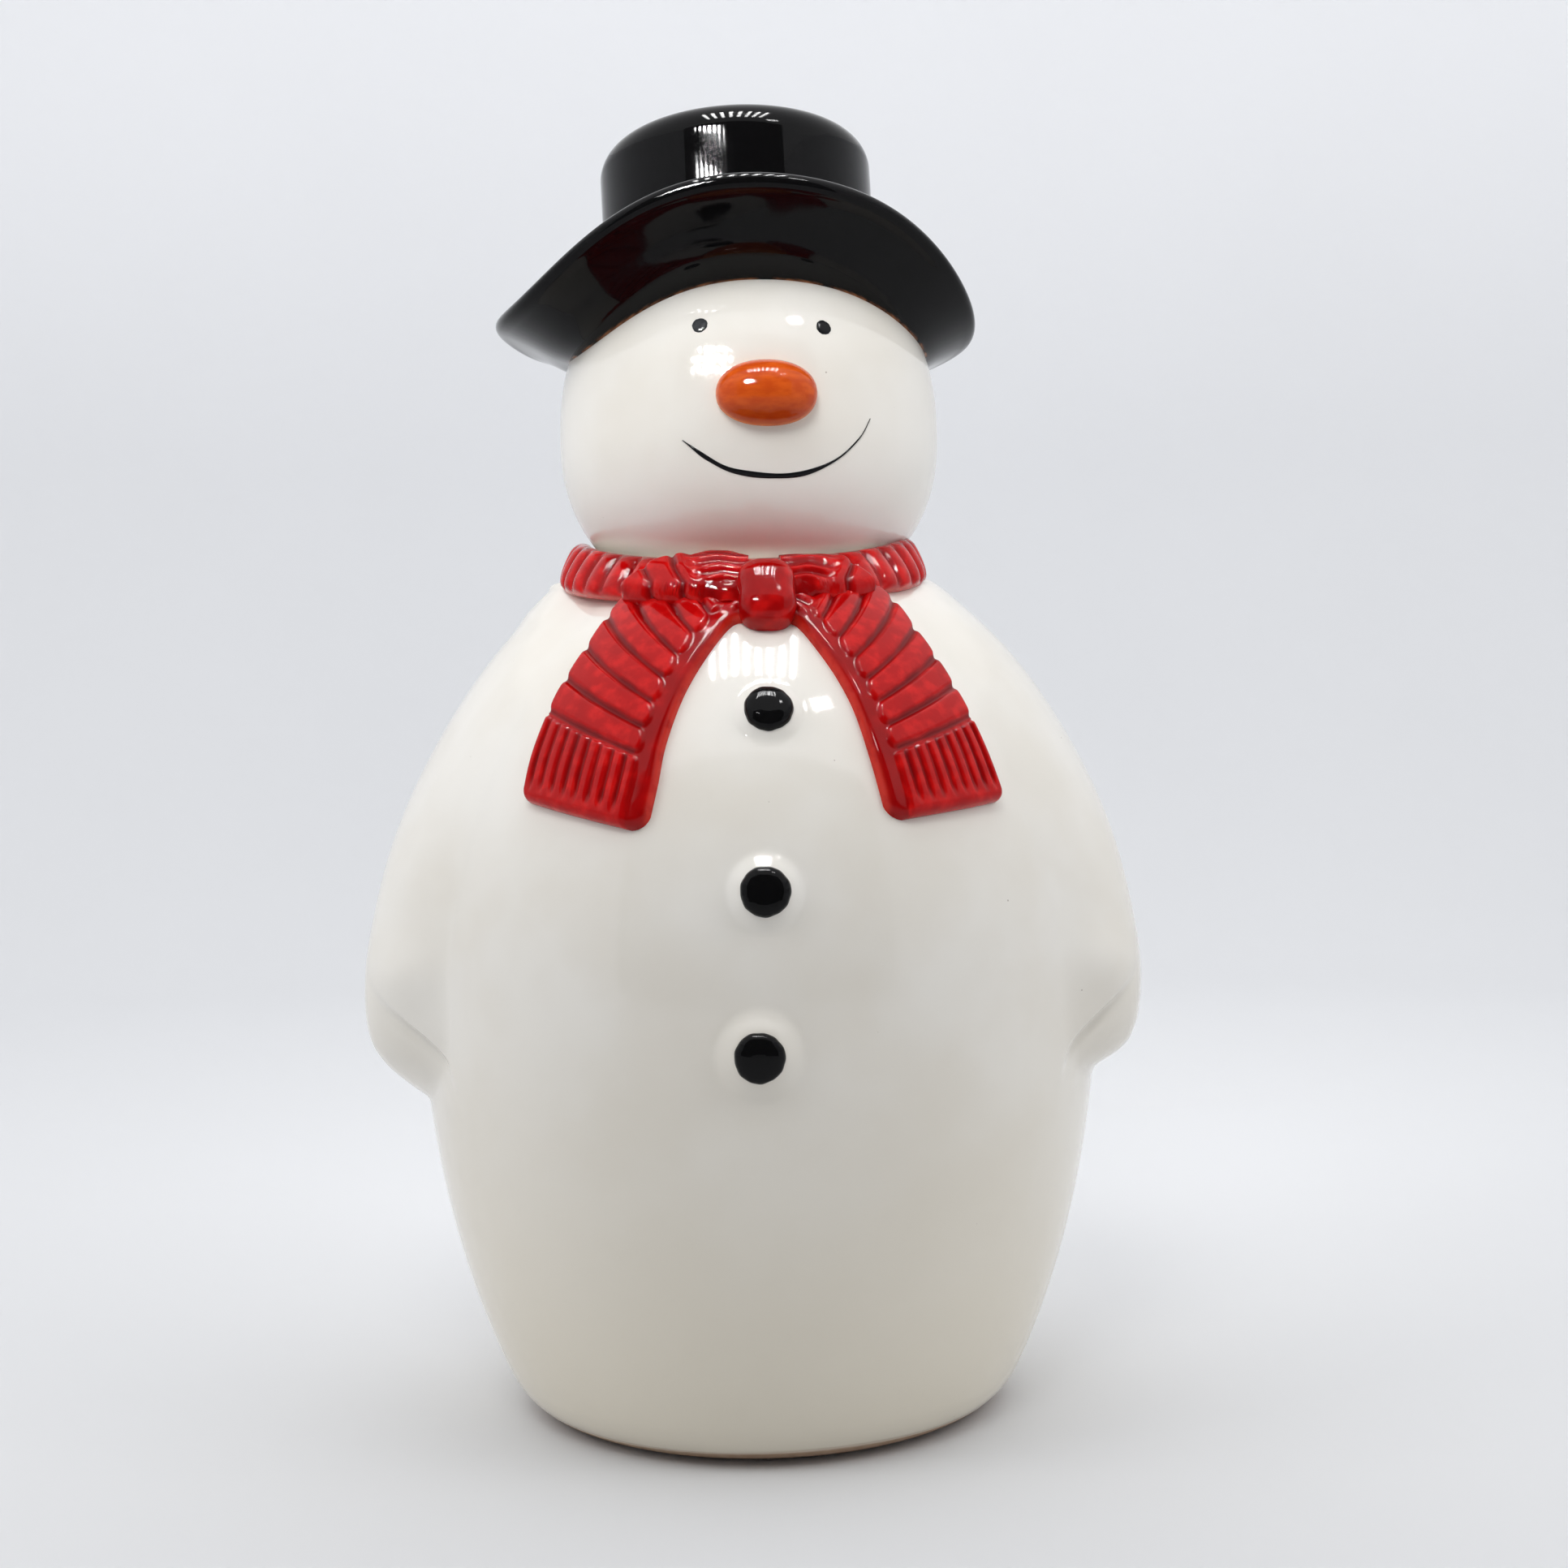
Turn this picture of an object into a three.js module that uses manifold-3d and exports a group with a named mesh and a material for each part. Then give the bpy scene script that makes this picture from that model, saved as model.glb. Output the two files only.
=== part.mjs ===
// A glazed earthenware snowman figure with a top hat and a scarf, in millimetres, +Z up.
// The figure faces -Y and the origin is the centre of its foot, on the surface it stands on.
// The hollow castings, the parts luted onto them and the stopper in the base are separate meshes.
import * as THREE from "three";
import { mergeVertices } from "three/addons/utils/BufferGeometryUtils.js";
import Module from "manifold-3d";

const wasm = await Module();
wasm.setup();

// ---------- driving dimensions, mm and degrees ----------

const JOINT_GAP = 0.3; // slip line between two luted parts
const WALL = 4; // cast wall

// Body: an ellipse above the waist and a longer one below it, on a rounded foot.
const BODY_RADIUS = 81;
const WAIST_Z = 105;
const BODY_UP = 99;
const BODY_DOWN = 147;
const FOOT_RADIUS = 47.5;
const FOOT_ROUND = 15;
const FOOT_ROUND_END = 27; // degrees off vertical where the round meets the side
const FOOT_RING_INNER = 41;
const RECESS_Z = 4;
const FLOOR_Z = 8.5;
const NECK_Z = 196.5;
const NECK_BORE = 26.5;
const NECK_RIM = { radius: 28.5, depth: 4 }; // the head's rim, which sits in the body's neck
const NECK_SOCKET = NECK_RIM.radius + JOINT_GAP;
const BACK_FULLNESS = 1.02; // the back is a little deeper than the front

// Arms: relief on both sides of the body, as [z, height over the body]. The left one is fuller.
const ARM_RELIEF = {
  left: [
    [73.6, 0],
    [77.6, 4.2],
    [83.6, 9.4],
    [90.5, 12.3],
    [103, 12.5],
    [125, 9.9],
    [155, 7.9],
    [180, 8.4],
    [188, 11],
    [193, 13.2],
    [195.3, 14.4],
    [NECK_Z, 0],
  ],
  right: [
    [77, 0],
    [79.5, 1.3],
    [81.7, 4.4],
    [84, 7],
    [87, 8.8],
    [92.5, 10.1],
    [103, 10.3],
    [125, 8.2],
    [155, 6.5],
    [180, 6.8],
    [188, 7.4],
    [195.3, 8.4],
    [NECK_Z, 0],
  ],
};
// Where the arm runs, in degrees round from the front, and how gently its edges rise.
const ARM_HAND = { z: 95, centre: 87, halfWidth: 31, soft: 0.55 };
const ARM_SHOULDER = { z: 175, centre: 95, halfWidth: 46, soft: 1 };
const SHOULDER_LEVELS = [185, 189.5, 193, 195, NECK_Z]; // rings of the mesh where the shoulder turns

// Head: two superellipse halves on the body's axis.
const HEAD_RADIUS = 45.5;
const HEAD_Z = 228;
const HEAD_UP = 44;
const HEAD_UP_POWER = 2.5;
const HEAD_DOWN = 40;
const HEAD_DOWN_POWER = 2.2;
const HEAD_TOP_Z = 268;
const HEAD_TOP_BORE = 27;

// Hat: crown and brim tilt back together, and lean sideways by a little each.
const HAT_CENTRE = [-1.8, -0.4, 261.4];
const HAT_TILT_BACK = 4.4; // degrees
const BRIM_LEAN = 1.4; // degrees, the figure's left side up
const CROWN_LEAN = 2.2;
const CROWN_SHIFT = 0.8;
const CROWN_RADIUS = 32.7;
const CROWN_BASE = 3;
const CROWN_TOP = 38.6;
const CROWN_ROUND = 7;
const CROWN_DOME = 0.8; // rise of the flat top at its middle
const BRIM_RADIUS = 55.7;
const BRIM_SHIFT = [-1, 0.5]; // the rim's centre from the hat's
const BRIM_EDGE = 2; // radius of the rounded rim
// The level brim's underside and top as [radius, z]. They start inside the crown and are cut back to it.
const BRIM_UNDERSIDE = [
  [30, -14.5],
  [38, -11.6],
  [44, -9],
  [50, -5],
];
const BRIM_TOP = [
  [48, -0.6],
  [40, 3.2],
  [30, 5.8],
];
const BRIM_WAVES = [
  { count: 1, height: 1.4, turn: -74 },
  { count: 2, height: 8.5, turn: 13.6 },
  { count: 4, height: 1.7, turn: 6.3 },
  { count: 5, height: 1.4, turn: -25 },
];
const ROOT_FOLLOW = 0.6; // how much of the waves the brim's root follows

// The line down the front drifts to the figure's left as it rises.
const FRONT_DRIFT = 0.038; // degrees per mm
const FRONT_DRIFT_FROM_Z = 72;

// Face
const NOSE_Z = 231.3;
const NOSE_SIZE = { halfWidth: 11.2, halfHeight: 7.3, depth: 8 };
const EYE_RADIUS = 1.8;
const EYES = { left: { turn: -13.1, z: 247 }, right: { turn: 24, z: 246.6 } };
const PAINT = 0.4; // thickness of a brushed enamel stroke
const MOUTH_LINE = [
  [-18, 221.6],
  [-11.3, 217.6],
  [-4, 214.7],
  [7, 213.5],
  [17.2, 214.2],
  [26.7, 217.4],
  [33.8, 222.4],
  [37.4, 226.9],
];
const MOUTH_WIDTH = 1;

// Buttons: glazed caps on mounds of the body.
const BUTTON_RADIUS = 4.9;
const BUTTON_CAP = 1.8;
const BUTTONS = {
  top: { z: 160.8, mound: 6.4, height: 1.6 },
  middle: { z: 124, mound: 7.6, height: 2.2 },
  bottom: { z: 91.4, mound: 8.8, height: 2.8 },
};
const MOUND_ROOT = 3; // how far a mound reaches into the wall
const MOUND_SEAT = 0.4; // flat ring round a cap
const SAME_POINT = 0.01; // mm between two vertices taken as one

// Scarf: sections of the collar as [radius, z], and tail edges as [degrees, z].
const COLLAR_SIDE = [
  [36, 192.8],
  [42, 192.8],
  [43.6, 195.2],
  [42.8, 199.5],
  [40.4, 204.2],
  [37.6, 204.6],
  [34, 201],
  [31.5, 194],
];
const COLLAR_FRONT = [
  [38, 186],
  [47.6, 185.4],
  [48.8, 187.6],
  [45.5, 191.6],
  [41, 195],
  [36, 196.2],
  [32.5, 195],
  [31.5, 192],
];
const COLLAR_DIP_POWER = 1.3;
const COLLAR_MIDDLE = [38, 197]; // where the section grows from
const COLLAR_SHIFT = -1.9; // the scarf sits a little to the left
const TAIL_THICKNESS = 4;
const TAILS = {
  left: {
    inner: [
      [1, 182],
      [-6, 176.5],
      [-11.8, 164],
      [-14.6, 149],
      [-15.8, 135.8],
    ],
    outer: [
      [-27, 184.4],
      [-35.5, 182],
      [-38.4, 170],
      [-40, 156],
      [-39.8, 142.6],
    ],
  },
  right: {
    inner: [
      [7, 182],
      [12.6, 176.5],
      [17.6, 164],
      [20, 149],
      [21.2, 137],
    ],
    outer: [
      [33, 184.4],
      [40.2, 181],
      [41.4, 170],
      [43.4, 156],
      [44.4, 141],
    ],
  },
};
const KNOT = { z: 186.4, halfWidth: 7, halfHeight: 8.6, depth: 7, radius: 52.5, lean: -30 };

// Stopper: a soft plug with a flange, pushed into the hole in the base.
const HOLE_RADIUS = 15;
const STOPPER = { flange: 18.5, flangeBottom: 1.7, plug: 14.7, tip: 13.6, top: 15 };

// Facets round a full turn.
const TURN_FACETS = { body: 44, head: 36, hat: 44, collar: 40, small: 16, stopper: 24 };

// ---------- outlines ----------

const radians = THREE.MathUtils.degToRad;

function bodyRadius(z, clear = 0) {
  const reach = z > WAIST_Z ? BODY_UP + clear : BODY_DOWN;
  const share = (z - WAIST_Z) / reach;
  return (BODY_RADIUS + clear) * Math.sqrt(Math.max(0, 1 - share * share));
}

function headRadius(z, clear = 0) {
  const up = z > HEAD_Z;
  const reach = (up ? HEAD_UP : HEAD_DOWN) + clear;
  const power = up ? HEAD_UP_POWER : HEAD_DOWN_POWER;
  const share = Math.min(1, Math.abs(z - HEAD_Z) / reach);
  return (HEAD_RADIUS + clear) * (1 - share ** power) ** (1 / power);
}

function frontTurn(z) {
  return FRONT_DRIFT * (z - FRONT_DRIFT_FROM_Z);
}

// A point at an angle round from the front, on a ring of the given radius.
function ringPoint(radius, degrees, z) {
  const angle = radians(degrees);
  return new THREE.Vector3(radius * Math.sin(angle), -radius * Math.cos(angle), z);
}

// The outward normal of a surface of revolution, from its radius function.
function normalOn(radiusAt, degrees, z) {
  const step = 0.1;
  const slope = (radiusAt(z + step) - radiusAt(z - step)) / (2 * step);
  return ringPoint(1, degrees, -slope).normalize();
}

function pointOn(radiusAt, degrees, z, height = 0) {
  const point = ringPoint(radiusAt(z), degrees, z);
  return point.addScaledVector(normalOn(radiusAt, degrees, z), height);
}

// Evenly spaced z values from one to the other, both ends included.
function levels(from, to, count) {
  return Array.from({ length: count + 1 }, (_, i) => from + ((to - from) * i) / count);
}

function smoothStep(share) {
  return THREE.MathUtils.smoothstep(share, 0, 1);
}

// ---------- solids ----------

// A closed profile of [radius, z] turned about the Z axis.
function turned(profile, facets) {
  const points = profile.map(([radius, z]) => new THREE.Vector2(radius, z));
  const geometry = new THREE.LatheGeometry(points, facets);
  return geometry.rotateX(Math.PI / 2);
}

// Moves each vertex to what `place` returns for it.
function reshaped(geometry, place) {
  const position = geometry.getAttribute("position");
  const vertex = new THREE.Vector3();
  for (let i = 0; i < position.count; i++) {
    vertex.fromBufferAttribute(position, i);
    const moved = place(vertex);
    position.setXYZ(i, moved.x, moved.y, moved.z);
  }
  return geometry;
}

function angleOf(vertex) {
  return THREE.MathUtils.radToDeg(Math.atan2(vertex.x, -vertex.y));
}

function toSolid(geometry) {
  const bare = geometry.clone();
  bare.deleteAttribute("normal");
  bare.deleteAttribute("uv");
  const merged = mergeVertices(bare, 1e-4);
  return new wasm.Manifold(
    new wasm.Mesh({
      numProp: 3,
      vertProperties: new Float32Array(merged.getAttribute("position").array),
      triVerts: new Uint32Array(merged.index.array),
    }),
  );
}

function toGeometry(solid) {
  const mesh = solid.getMesh();
  const geometry = new THREE.BufferGeometry();
  geometry.setAttribute("position", new THREE.BufferAttribute(mesh.vertProperties, 3));
  geometry.setIndex(new THREE.BufferAttribute(mesh.triVerts, 1));
  return geometry;
}

// A grid of cells across, along and one deep, bent by `place(across, along, depth)`, each 0 to 1.
function bentSheet(across, along, place) {
  const block = new THREE.BoxGeometry(1, 1, 1, across, along, 1);
  return reshaped(block, (v) => place(v.x + 0.5, v.y + 0.5, v.z + 0.5));
}

// Turns geometry built on +Z to stand on a surface at a point, along its normal.
function standOn(geometry, point, normal) {
  const turn = new THREE.Quaternion().setFromUnitVectors(new THREE.Vector3(0, 0, 1), normal);
  return geometry.applyQuaternion(turn).translate(point.x, point.y, point.z);
}

// ---------- body ----------

function reliefCurve(points) {
  return new THREE.CatmullRomCurve3(points.map(([z, height]) => new THREE.Vector3(z, height, 0)));
}

const armSamples = {
  left: reliefCurve(ARM_RELIEF.left).getPoints(150),
  right: reliefCurve(ARM_RELIEF.right).getPoints(150),
};

function armHeight(samples, z) {
  const above = samples.findIndex((sample) => sample.x >= z);
  if (above <= 0) return 0;
  const low = samples[above - 1];
  const high = samples[above];
  const share = (z - low.x) / (high.x - low.x);
  return Math.max(0, low.y + (high.y - low.y) * share);
}

// Height of the arm's relief over the plain body.
function armRelief(degrees, z) {
  const samples = degrees < 0 ? armSamples.left : armSamples.right;
  const rise = smoothStep((z - ARM_HAND.z) / (ARM_SHOULDER.z - ARM_HAND.z));
  const blend = (key) => THREE.MathUtils.lerp(ARM_HAND[key], ARM_SHOULDER[key], rise);
  const offCentre = Math.abs(Math.abs(degrees) - blend("centre")) / blend("halfWidth");
  return armHeight(samples, z) * smoothStep((1 - offCentre) / blend("soft"));
}

function footRound(clear = 0) {
  const centre = [FOOT_RADIUS, FOOT_ROUND];
  return levels(-90, -FOOT_ROUND_END, 4).map((degrees) => [
    centre[0] + (FOOT_ROUND + clear) * Math.cos(radians(degrees)),
    centre[1] + (FOOT_ROUND + clear) * Math.sin(radians(degrees)),
  ]);
}

// Gives a turned body its arms and its fuller back.
function withArms(geometry) {
  return reshaped(geometry, (v) => {
    const radius = Math.hypot(v.x, v.y);
    const degrees = angleOf(v);
    const relief = radius > NECK_SOCKET + 1 ? armRelief(degrees, v.z) : 0;
    const moved = ringPoint(radius + relief, degrees, v.z);
    return moved.setY(moved.y > 0 ? moved.y * BACK_FULLNESS : moved.y);
  });
}

function buttonSeat(button) {
  const degrees = frontTurn(button.z);
  return {
    point: pointOn(bodyRadius, degrees, button.z),
    normal: normalOn(bodyRadius, degrees, button.z),
  };
}

function mound(button) {
  const seat = BUTTON_RADIUS + MOUND_SEAT;
  const profile = [
    [0, -MOUND_ROOT],
    [button.mound + 1.2, -MOUND_ROOT],
    [button.mound, 0.3],
    [(button.mound + seat) / 2, button.height * 0.72],
    [seat, button.height],
    [0, button.height],
  ];
  const { point, normal } = buttonSeat(button);
  return standOn(turned(profile, TURN_FACETS.small), point, normal);
}

function bodyShell() {
  const innerUp = BODY_UP - WALL;
  const innerRadius = BODY_RADIUS - WALL;
  const inner = (z) => {
    const share = (z - WAIST_Z) / (z > WAIST_Z ? innerUp : BODY_DOWN);
    return innerRadius * Math.sqrt(1 - share * share);
  };
  const socketBottom = WAIST_Z + innerUp * Math.sqrt(1 - (NECK_SOCKET / innerRadius) ** 2);
  const side = [...levels(14, 68, 5), ...levels(72, 88, 4), ...levels(95, 180, 9), ...SHOULDER_LEVELS];
  const profile = [
    [FOOT_RING_INNER, 0],
    ...footRound(),
    ...side.map((z) => [bodyRadius(z), z]),
    [NECK_SOCKET, NECK_Z],
    [NECK_SOCKET, socketBottom],
    ...levels(188, 158, 3).map((z) => [inner(z), z]),
    ...levels(140, 20, 7).map((z) => [inner(z), z]),
    [inner(FLOOR_Z), FLOOR_Z],
    [HOLE_RADIUS, FLOOR_Z],
    [HOLE_RADIUS, RECESS_Z],
    [FOOT_RING_INNER - 2, RECESS_Z],
    [FOOT_RING_INNER, 0],
  ];
  let solid = toSolid(withArms(turned(profile, TURN_FACETS.body)));
  for (const button of Object.values(BUTTONS)) {
    solid = solid.add(toSolid(mound(button)));
  }
  return toGeometry(solid);
}

// The body's outside as one plain solid, grown by the joint gap, for cutting what lies on it.
function bodyCutter() {
  const rise = [...levels(20, 180, 16), ...SHOULDER_LEVELS];
  const profile = [
    [0, 0],
    ...footRound(JOINT_GAP),
    ...rise.map((z) => [bodyRadius(z, JOINT_GAP), z]),
    [0, NECK_Z + JOINT_GAP],
  ];
  return toSolid(withArms(turned(profile, TURN_FACETS.body)));
}

// ---------- head ----------

function headOutline(from, clear = 0) {
  return [from, 200, 204, 209, 215, 222, HEAD_Z, 236, 243, 249, 254, 258.5, 262.5, 266, HEAD_TOP_Z].map(
    (z) => [headRadius(z, clear), z],
  );
}

// Everything above the joint between the head and the hat's crown, with the joint's gap.
function aboveHatJoint() {
  const size = 4 * HEAD_RADIUS;
  const block = new THREE.BoxGeometry(size, size, size);
  block.translate(0, 0, size / 2 + CROWN_BASE - JOINT_GAP);
  return toSolid(inHatFrame(block, CROWN_LEAN, CROWN_SHIFT));
}

function headShell() {
  const bottom = NECK_Z + JOINT_GAP;
  const rimBottom = NECK_Z - NECK_RIM.depth;
  const inner = (z) => headRadius(z, -WALL);
  const profile = [
    ...headOutline(bottom),
    [HEAD_TOP_BORE, HEAD_TOP_Z],
    [HEAD_TOP_BORE, 261],
    ...[256, 248, 240, HEAD_Z, 215, 207, 202].map((z) => [inner(z), z]),
    [NECK_BORE, 200],
    [NECK_BORE, rimBottom],
    [NECK_RIM.radius, rimBottom],
    [NECK_RIM.radius, bottom],
    [headRadius(bottom), bottom],
  ];
  const solid = toSolid(turned(profile, TURN_FACETS.head));
  return toGeometry(solid.subtract(aboveHatJoint()));
}

function headCutter() {
  const bottom = NECK_Z - 2;
  const profile = [[0, bottom], ...headOutline(bottom, JOINT_GAP), [0, HEAD_TOP_Z]];
  return toSolid(turned(profile, TURN_FACETS.head));
}

// ---------- hat ----------

function inHatFrame(geometry, lean, shift = 0) {
  geometry.translate(shift, 0, 0).rotateY(radians(-lean)).rotateX(radians(-HAT_TILT_BACK));
  return geometry.translate(...HAT_CENTRE);
}

function hatCrown() {
  const corner = CROWN_RADIUS - CROWN_ROUND;
  const innerRadius = CROWN_RADIUS - WALL;
  const profile = [
    [CROWN_RADIUS, CROWN_BASE],
    [CROWN_RADIUS, 16],
    ...levels(0, 90, 4).map((degrees) => [
      corner + CROWN_ROUND * Math.cos(radians(degrees)),
      CROWN_TOP - CROWN_ROUND + CROWN_ROUND * Math.sin(radians(degrees)),
    ]),
    [0, CROWN_TOP + CROWN_DOME],
    [0, CROWN_TOP - WALL],
    [corner, CROWN_TOP - WALL - 0.5],
    [innerRadius, CROWN_TOP - CROWN_ROUND - 1],
    [innerRadius, CROWN_BASE],
    [CROWN_RADIUS, CROWN_BASE],
  ];
  return inHatFrame(turned(profile, TURN_FACETS.hat), CROWN_LEAN, CROWN_SHIFT);
}

// The crown's outside, grown by the joint gap and run down through the brim's root.
function crownCutter() {
  const radius = CROWN_RADIUS + JOINT_GAP;
  const reach = 25;
  const profile = [
    [0, -reach],
    [radius, -reach],
    [radius, reach],
    [0, reach],
  ];
  return toSolid(inHatFrame(turned(profile, TURN_FACETS.hat), CROWN_LEAN, CROWN_SHIFT));
}

function brimWave(degrees) {
  return BRIM_WAVES.reduce(
    (sum, wave) => sum + wave.height * Math.cos(radians(wave.count * (degrees - wave.turn))),
    0,
  );
}

// The brim's section starts level. Its rim follows the waves in full, and its root follows less.
function hatBrim(headSolid) {
  const bend = BRIM_EDGE * 0.3;
  const profile = [
    ...BRIM_UNDERSIDE,
    [BRIM_RADIUS + bend, -BRIM_EDGE],
    [BRIM_RADIUS + BRIM_EDGE, 0],
    [BRIM_RADIUS + bend, BRIM_EDGE],
    [BRIM_RADIUS - BRIM_EDGE, BRIM_EDGE],
    ...BRIM_TOP,
    BRIM_UNDERSIDE[0],
  ];
  const level = turned(profile, TURN_FACETS.hat);
  const waved = reshaped(level, (v) => {
    const radius = Math.hypot(v.x, v.y);
    const share = THREE.MathUtils.clamp((radius - CROWN_RADIUS) / (BRIM_RADIUS - CROWN_RADIUS), 0, 1);
    const follow = THREE.MathUtils.lerp(ROOT_FOLLOW, 1, share);
    const height = v.z + brimWave(angleOf(v)) * follow;
    return new THREE.Vector3(v.x + BRIM_SHIFT[0] * share, v.y + BRIM_SHIFT[1] * share, height);
  });
  const solid = toSolid(inHatFrame(waved, BRIM_LEAN)).subtract(headSolid).subtract(crownCutter());
  return toGeometry(solid);
}

// ---------- scarf ----------

// The collar's section changes from its side form to its front form round the neck.
function collarRing(clear = 0) {
  const ring = turned([...COLLAR_SIDE, COLLAR_SIDE[0]], TURN_FACETS.collar);
  return reshaped(ring, (v) => {
    const radius = Math.hypot(v.x, v.y);
    const degrees = angleOf(v);
    const front = Math.max(0, Math.cos(radians(degrees))) ** COLLAR_DIP_POWER;
    const corner = COLLAR_SIDE.findIndex(
      ([r, z]) => Math.hypot(r - radius, z - v.z) < SAME_POINT,
    );
    const [sideRadius, sideZ] = COLLAR_SIDE[corner];
    const [frontRadius, frontZ] = COLLAR_FRONT[corner];
    const out = [sideRadius - COLLAR_MIDDLE[0], sideZ - COLLAR_MIDDLE[1]];
    const grow = clear / Math.hypot(...out);
    const point = ringPoint(
      THREE.MathUtils.lerp(sideRadius, frontRadius, front) + out[0] * grow,
      degrees,
      THREE.MathUtils.lerp(sideZ, frontZ, front) + out[1] * grow,
    );
    return point.setX(point.x + COLLAR_SHIFT);
  });
}

function scarfCollar(headSolid, bodySolid) {
  return toGeometry(toSolid(collarRing()).subtract(headSolid).subtract(bodySolid));
}

function edgeCurve(points) {
  return new THREE.CatmullRomCurve3(points.map(([a, z]) => new THREE.Vector3(a, z, 0)));
}

// A tail lies on the body between its inner and outer edges. `clear` grows it for cutting.
function scarfTail(tail, clear = 0) {
  const inner = edgeCurve(tail.inner);
  const outer = edgeCurve(tail.outer);
  const mirrored = tail.outer[0][0] > tail.inner[0][0];
  return bentSheet(5, 9, (across, along, depth) => {
    const widened = across + (across - 0.5) * clear * 0.1;
    const side = mirrored ? widened : 1 - widened;
    const spot = inner.getPoint(1 - along).lerp(outer.getPoint(1 - along), side);
    spot.y += along === 1 ? clear : 0;
    const atEdge = across === 0 || across === 1;
    const top = (atEdge ? TAIL_THICKNESS * 0.7 : TAIL_THICKNESS) + clear;
    const height = depth > 0.5 ? top : JOINT_GAP + 0.1;
    return pointOn(bodyRadius, spot.x, spot.y, height);
  });
}

function scarfKnot(obstacles) {
  const degrees = frontTurn(KNOT.z);
  const ball = new THREE.SphereGeometry(1, 20, 14);
  ball.scale(KNOT.halfWidth, KNOT.depth, KNOT.halfHeight);
  ball.rotateX(radians(KNOT.lean)).rotateZ(radians(degrees));
  const centre = ringPoint(KNOT.radius, degrees, KNOT.z);
  ball.translate(centre.x, centre.y, centre.z);
  return toGeometry(obstacles.reduce((solid, cut) => solid.subtract(cut), toSolid(ball)));
}

// ---------- face and buttons ----------

function nose(headSolid) {
  const degrees = frontTurn(NOSE_Z);
  const ball = new THREE.SphereGeometry(1, 24, 14);
  ball.scale(NOSE_SIZE.halfWidth, NOSE_SIZE.depth, NOSE_SIZE.halfHeight).rotateZ(radians(degrees));
  const centre = ringPoint(headRadius(NOSE_Z) - 1, degrees, NOSE_Z);
  ball.translate(centre.x, centre.y, centre.z);
  return toGeometry(toSolid(ball).subtract(headSolid));
}

function eye({ turn, z }) {
  const profile = [
    [0, JOINT_GAP],
    [EYE_RADIUS, JOINT_GAP],
    [EYE_RADIUS * 0.8, JOINT_GAP + PAINT],
    [0, JOINT_GAP + PAINT],
  ];
  const dot = turned(profile, TURN_FACETS.small);
  return standOn(dot, pointOn(headRadius, turn, z), normalOn(headRadius, turn, z));
}

function mouth() {
  const line = edgeCurve(MOUTH_LINE);
  return bentSheet(24, 1, (along, across, depth) => {
    const spot = line.getPoint(along);
    const taper = 0.35 + 0.65 * Math.sin(Math.PI * along);
    const height = JOINT_GAP + 0.05 + depth * PAINT;
    const point = pointOn(headRadius, spot.x, spot.y, height);
    return point.setZ(point.z + (across - 0.5) * MOUTH_WIDTH * taper);
  });
}

function buttonCap(button) {
  const bottom = button.height + JOINT_GAP;
  const profile = [
    [0, bottom],
    [BUTTON_RADIUS, bottom],
    [BUTTON_RADIUS * 0.86, bottom + BUTTON_CAP * 0.55],
    [BUTTON_RADIUS * 0.5, bottom + BUTTON_CAP * 0.9],
    [0, bottom + BUTTON_CAP],
  ];
  const { point, normal } = buttonSeat(button);
  return standOn(turned(profile, TURN_FACETS.small), point, normal);
}

// ---------- stopper ----------

function baseStopper() {
  const flangeTop = RECESS_Z - JOINT_GAP;
  const profile = [
    [0, STOPPER.flangeBottom],
    [STOPPER.flange, STOPPER.flangeBottom],
    [STOPPER.flange, flangeTop],
    [STOPPER.plug, flangeTop],
    [STOPPER.plug, FLOOR_Z + 2],
    [STOPPER.tip, STOPPER.top],
    [0, STOPPER.top],
  ];
  return turned(profile, TURN_FACETS.stopper);
}

// ---------- assembly ----------

function glaze(color) {
  return new THREE.MeshStandardMaterial({ color, roughness: 0.12, metalness: 0 });
}

const figure = new THREE.Group();

function addPart(name, geometry, material) {
  const mesh = new THREE.Mesh(geometry, material);
  mesh.name = name;
  figure.add(mesh);
}

const headSolid = headCutter();
const bodySolid = bodyCutter();
const knotBed = [bodySolid, toSolid(collarRing(JOINT_GAP))];
for (const tail of Object.values(TAILS)) {
  knotBed.push(toSolid(scarfTail(tail, JOINT_GAP)));
}

addPart("body_shell", bodyShell(), glaze(0xece8e0));
addPart("head_shell", headShell(), glaze(0xeeeae3));
addPart("hat_crown", hatCrown(), glaze(0x0b0b0c));
addPart("hat_brim", hatBrim(headSolid), glaze(0x0c0c0d));
addPart("scarf_collar", scarfCollar(headSolid, bodySolid), glaze(0xb4161b));
for (const [name, tail] of Object.entries(TAILS)) {
  addPart("scarf_tail_" + name, scarfTail(tail), glaze(0xb8181d));
}
addPart("scarf_knot", scarfKnot(knotBed), glaze(0xc0141a));
addPart("nose", nose(headSolid), glaze(0xd4641c));
for (const [name, place] of Object.entries(EYES)) {
  addPart("eye_" + name, eye(place), glaze(0x141414));
}
addPart("mouth", mouth(), glaze(0x161616));
for (const [name, button] of Object.entries(BUTTONS)) {
  addPart("button_" + name, buttonCap(button), glaze(0x0d0d0e));
}
const rubber = new THREE.MeshStandardMaterial({ color: 0x8c8a84, roughness: 0.6, metalness: 0 });
addPart("base_stopper", baseStopper(), rubber);

export default figure;
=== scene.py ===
import math

import bpy
import numpy as np
from mathutils import Matrix, Vector


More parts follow.
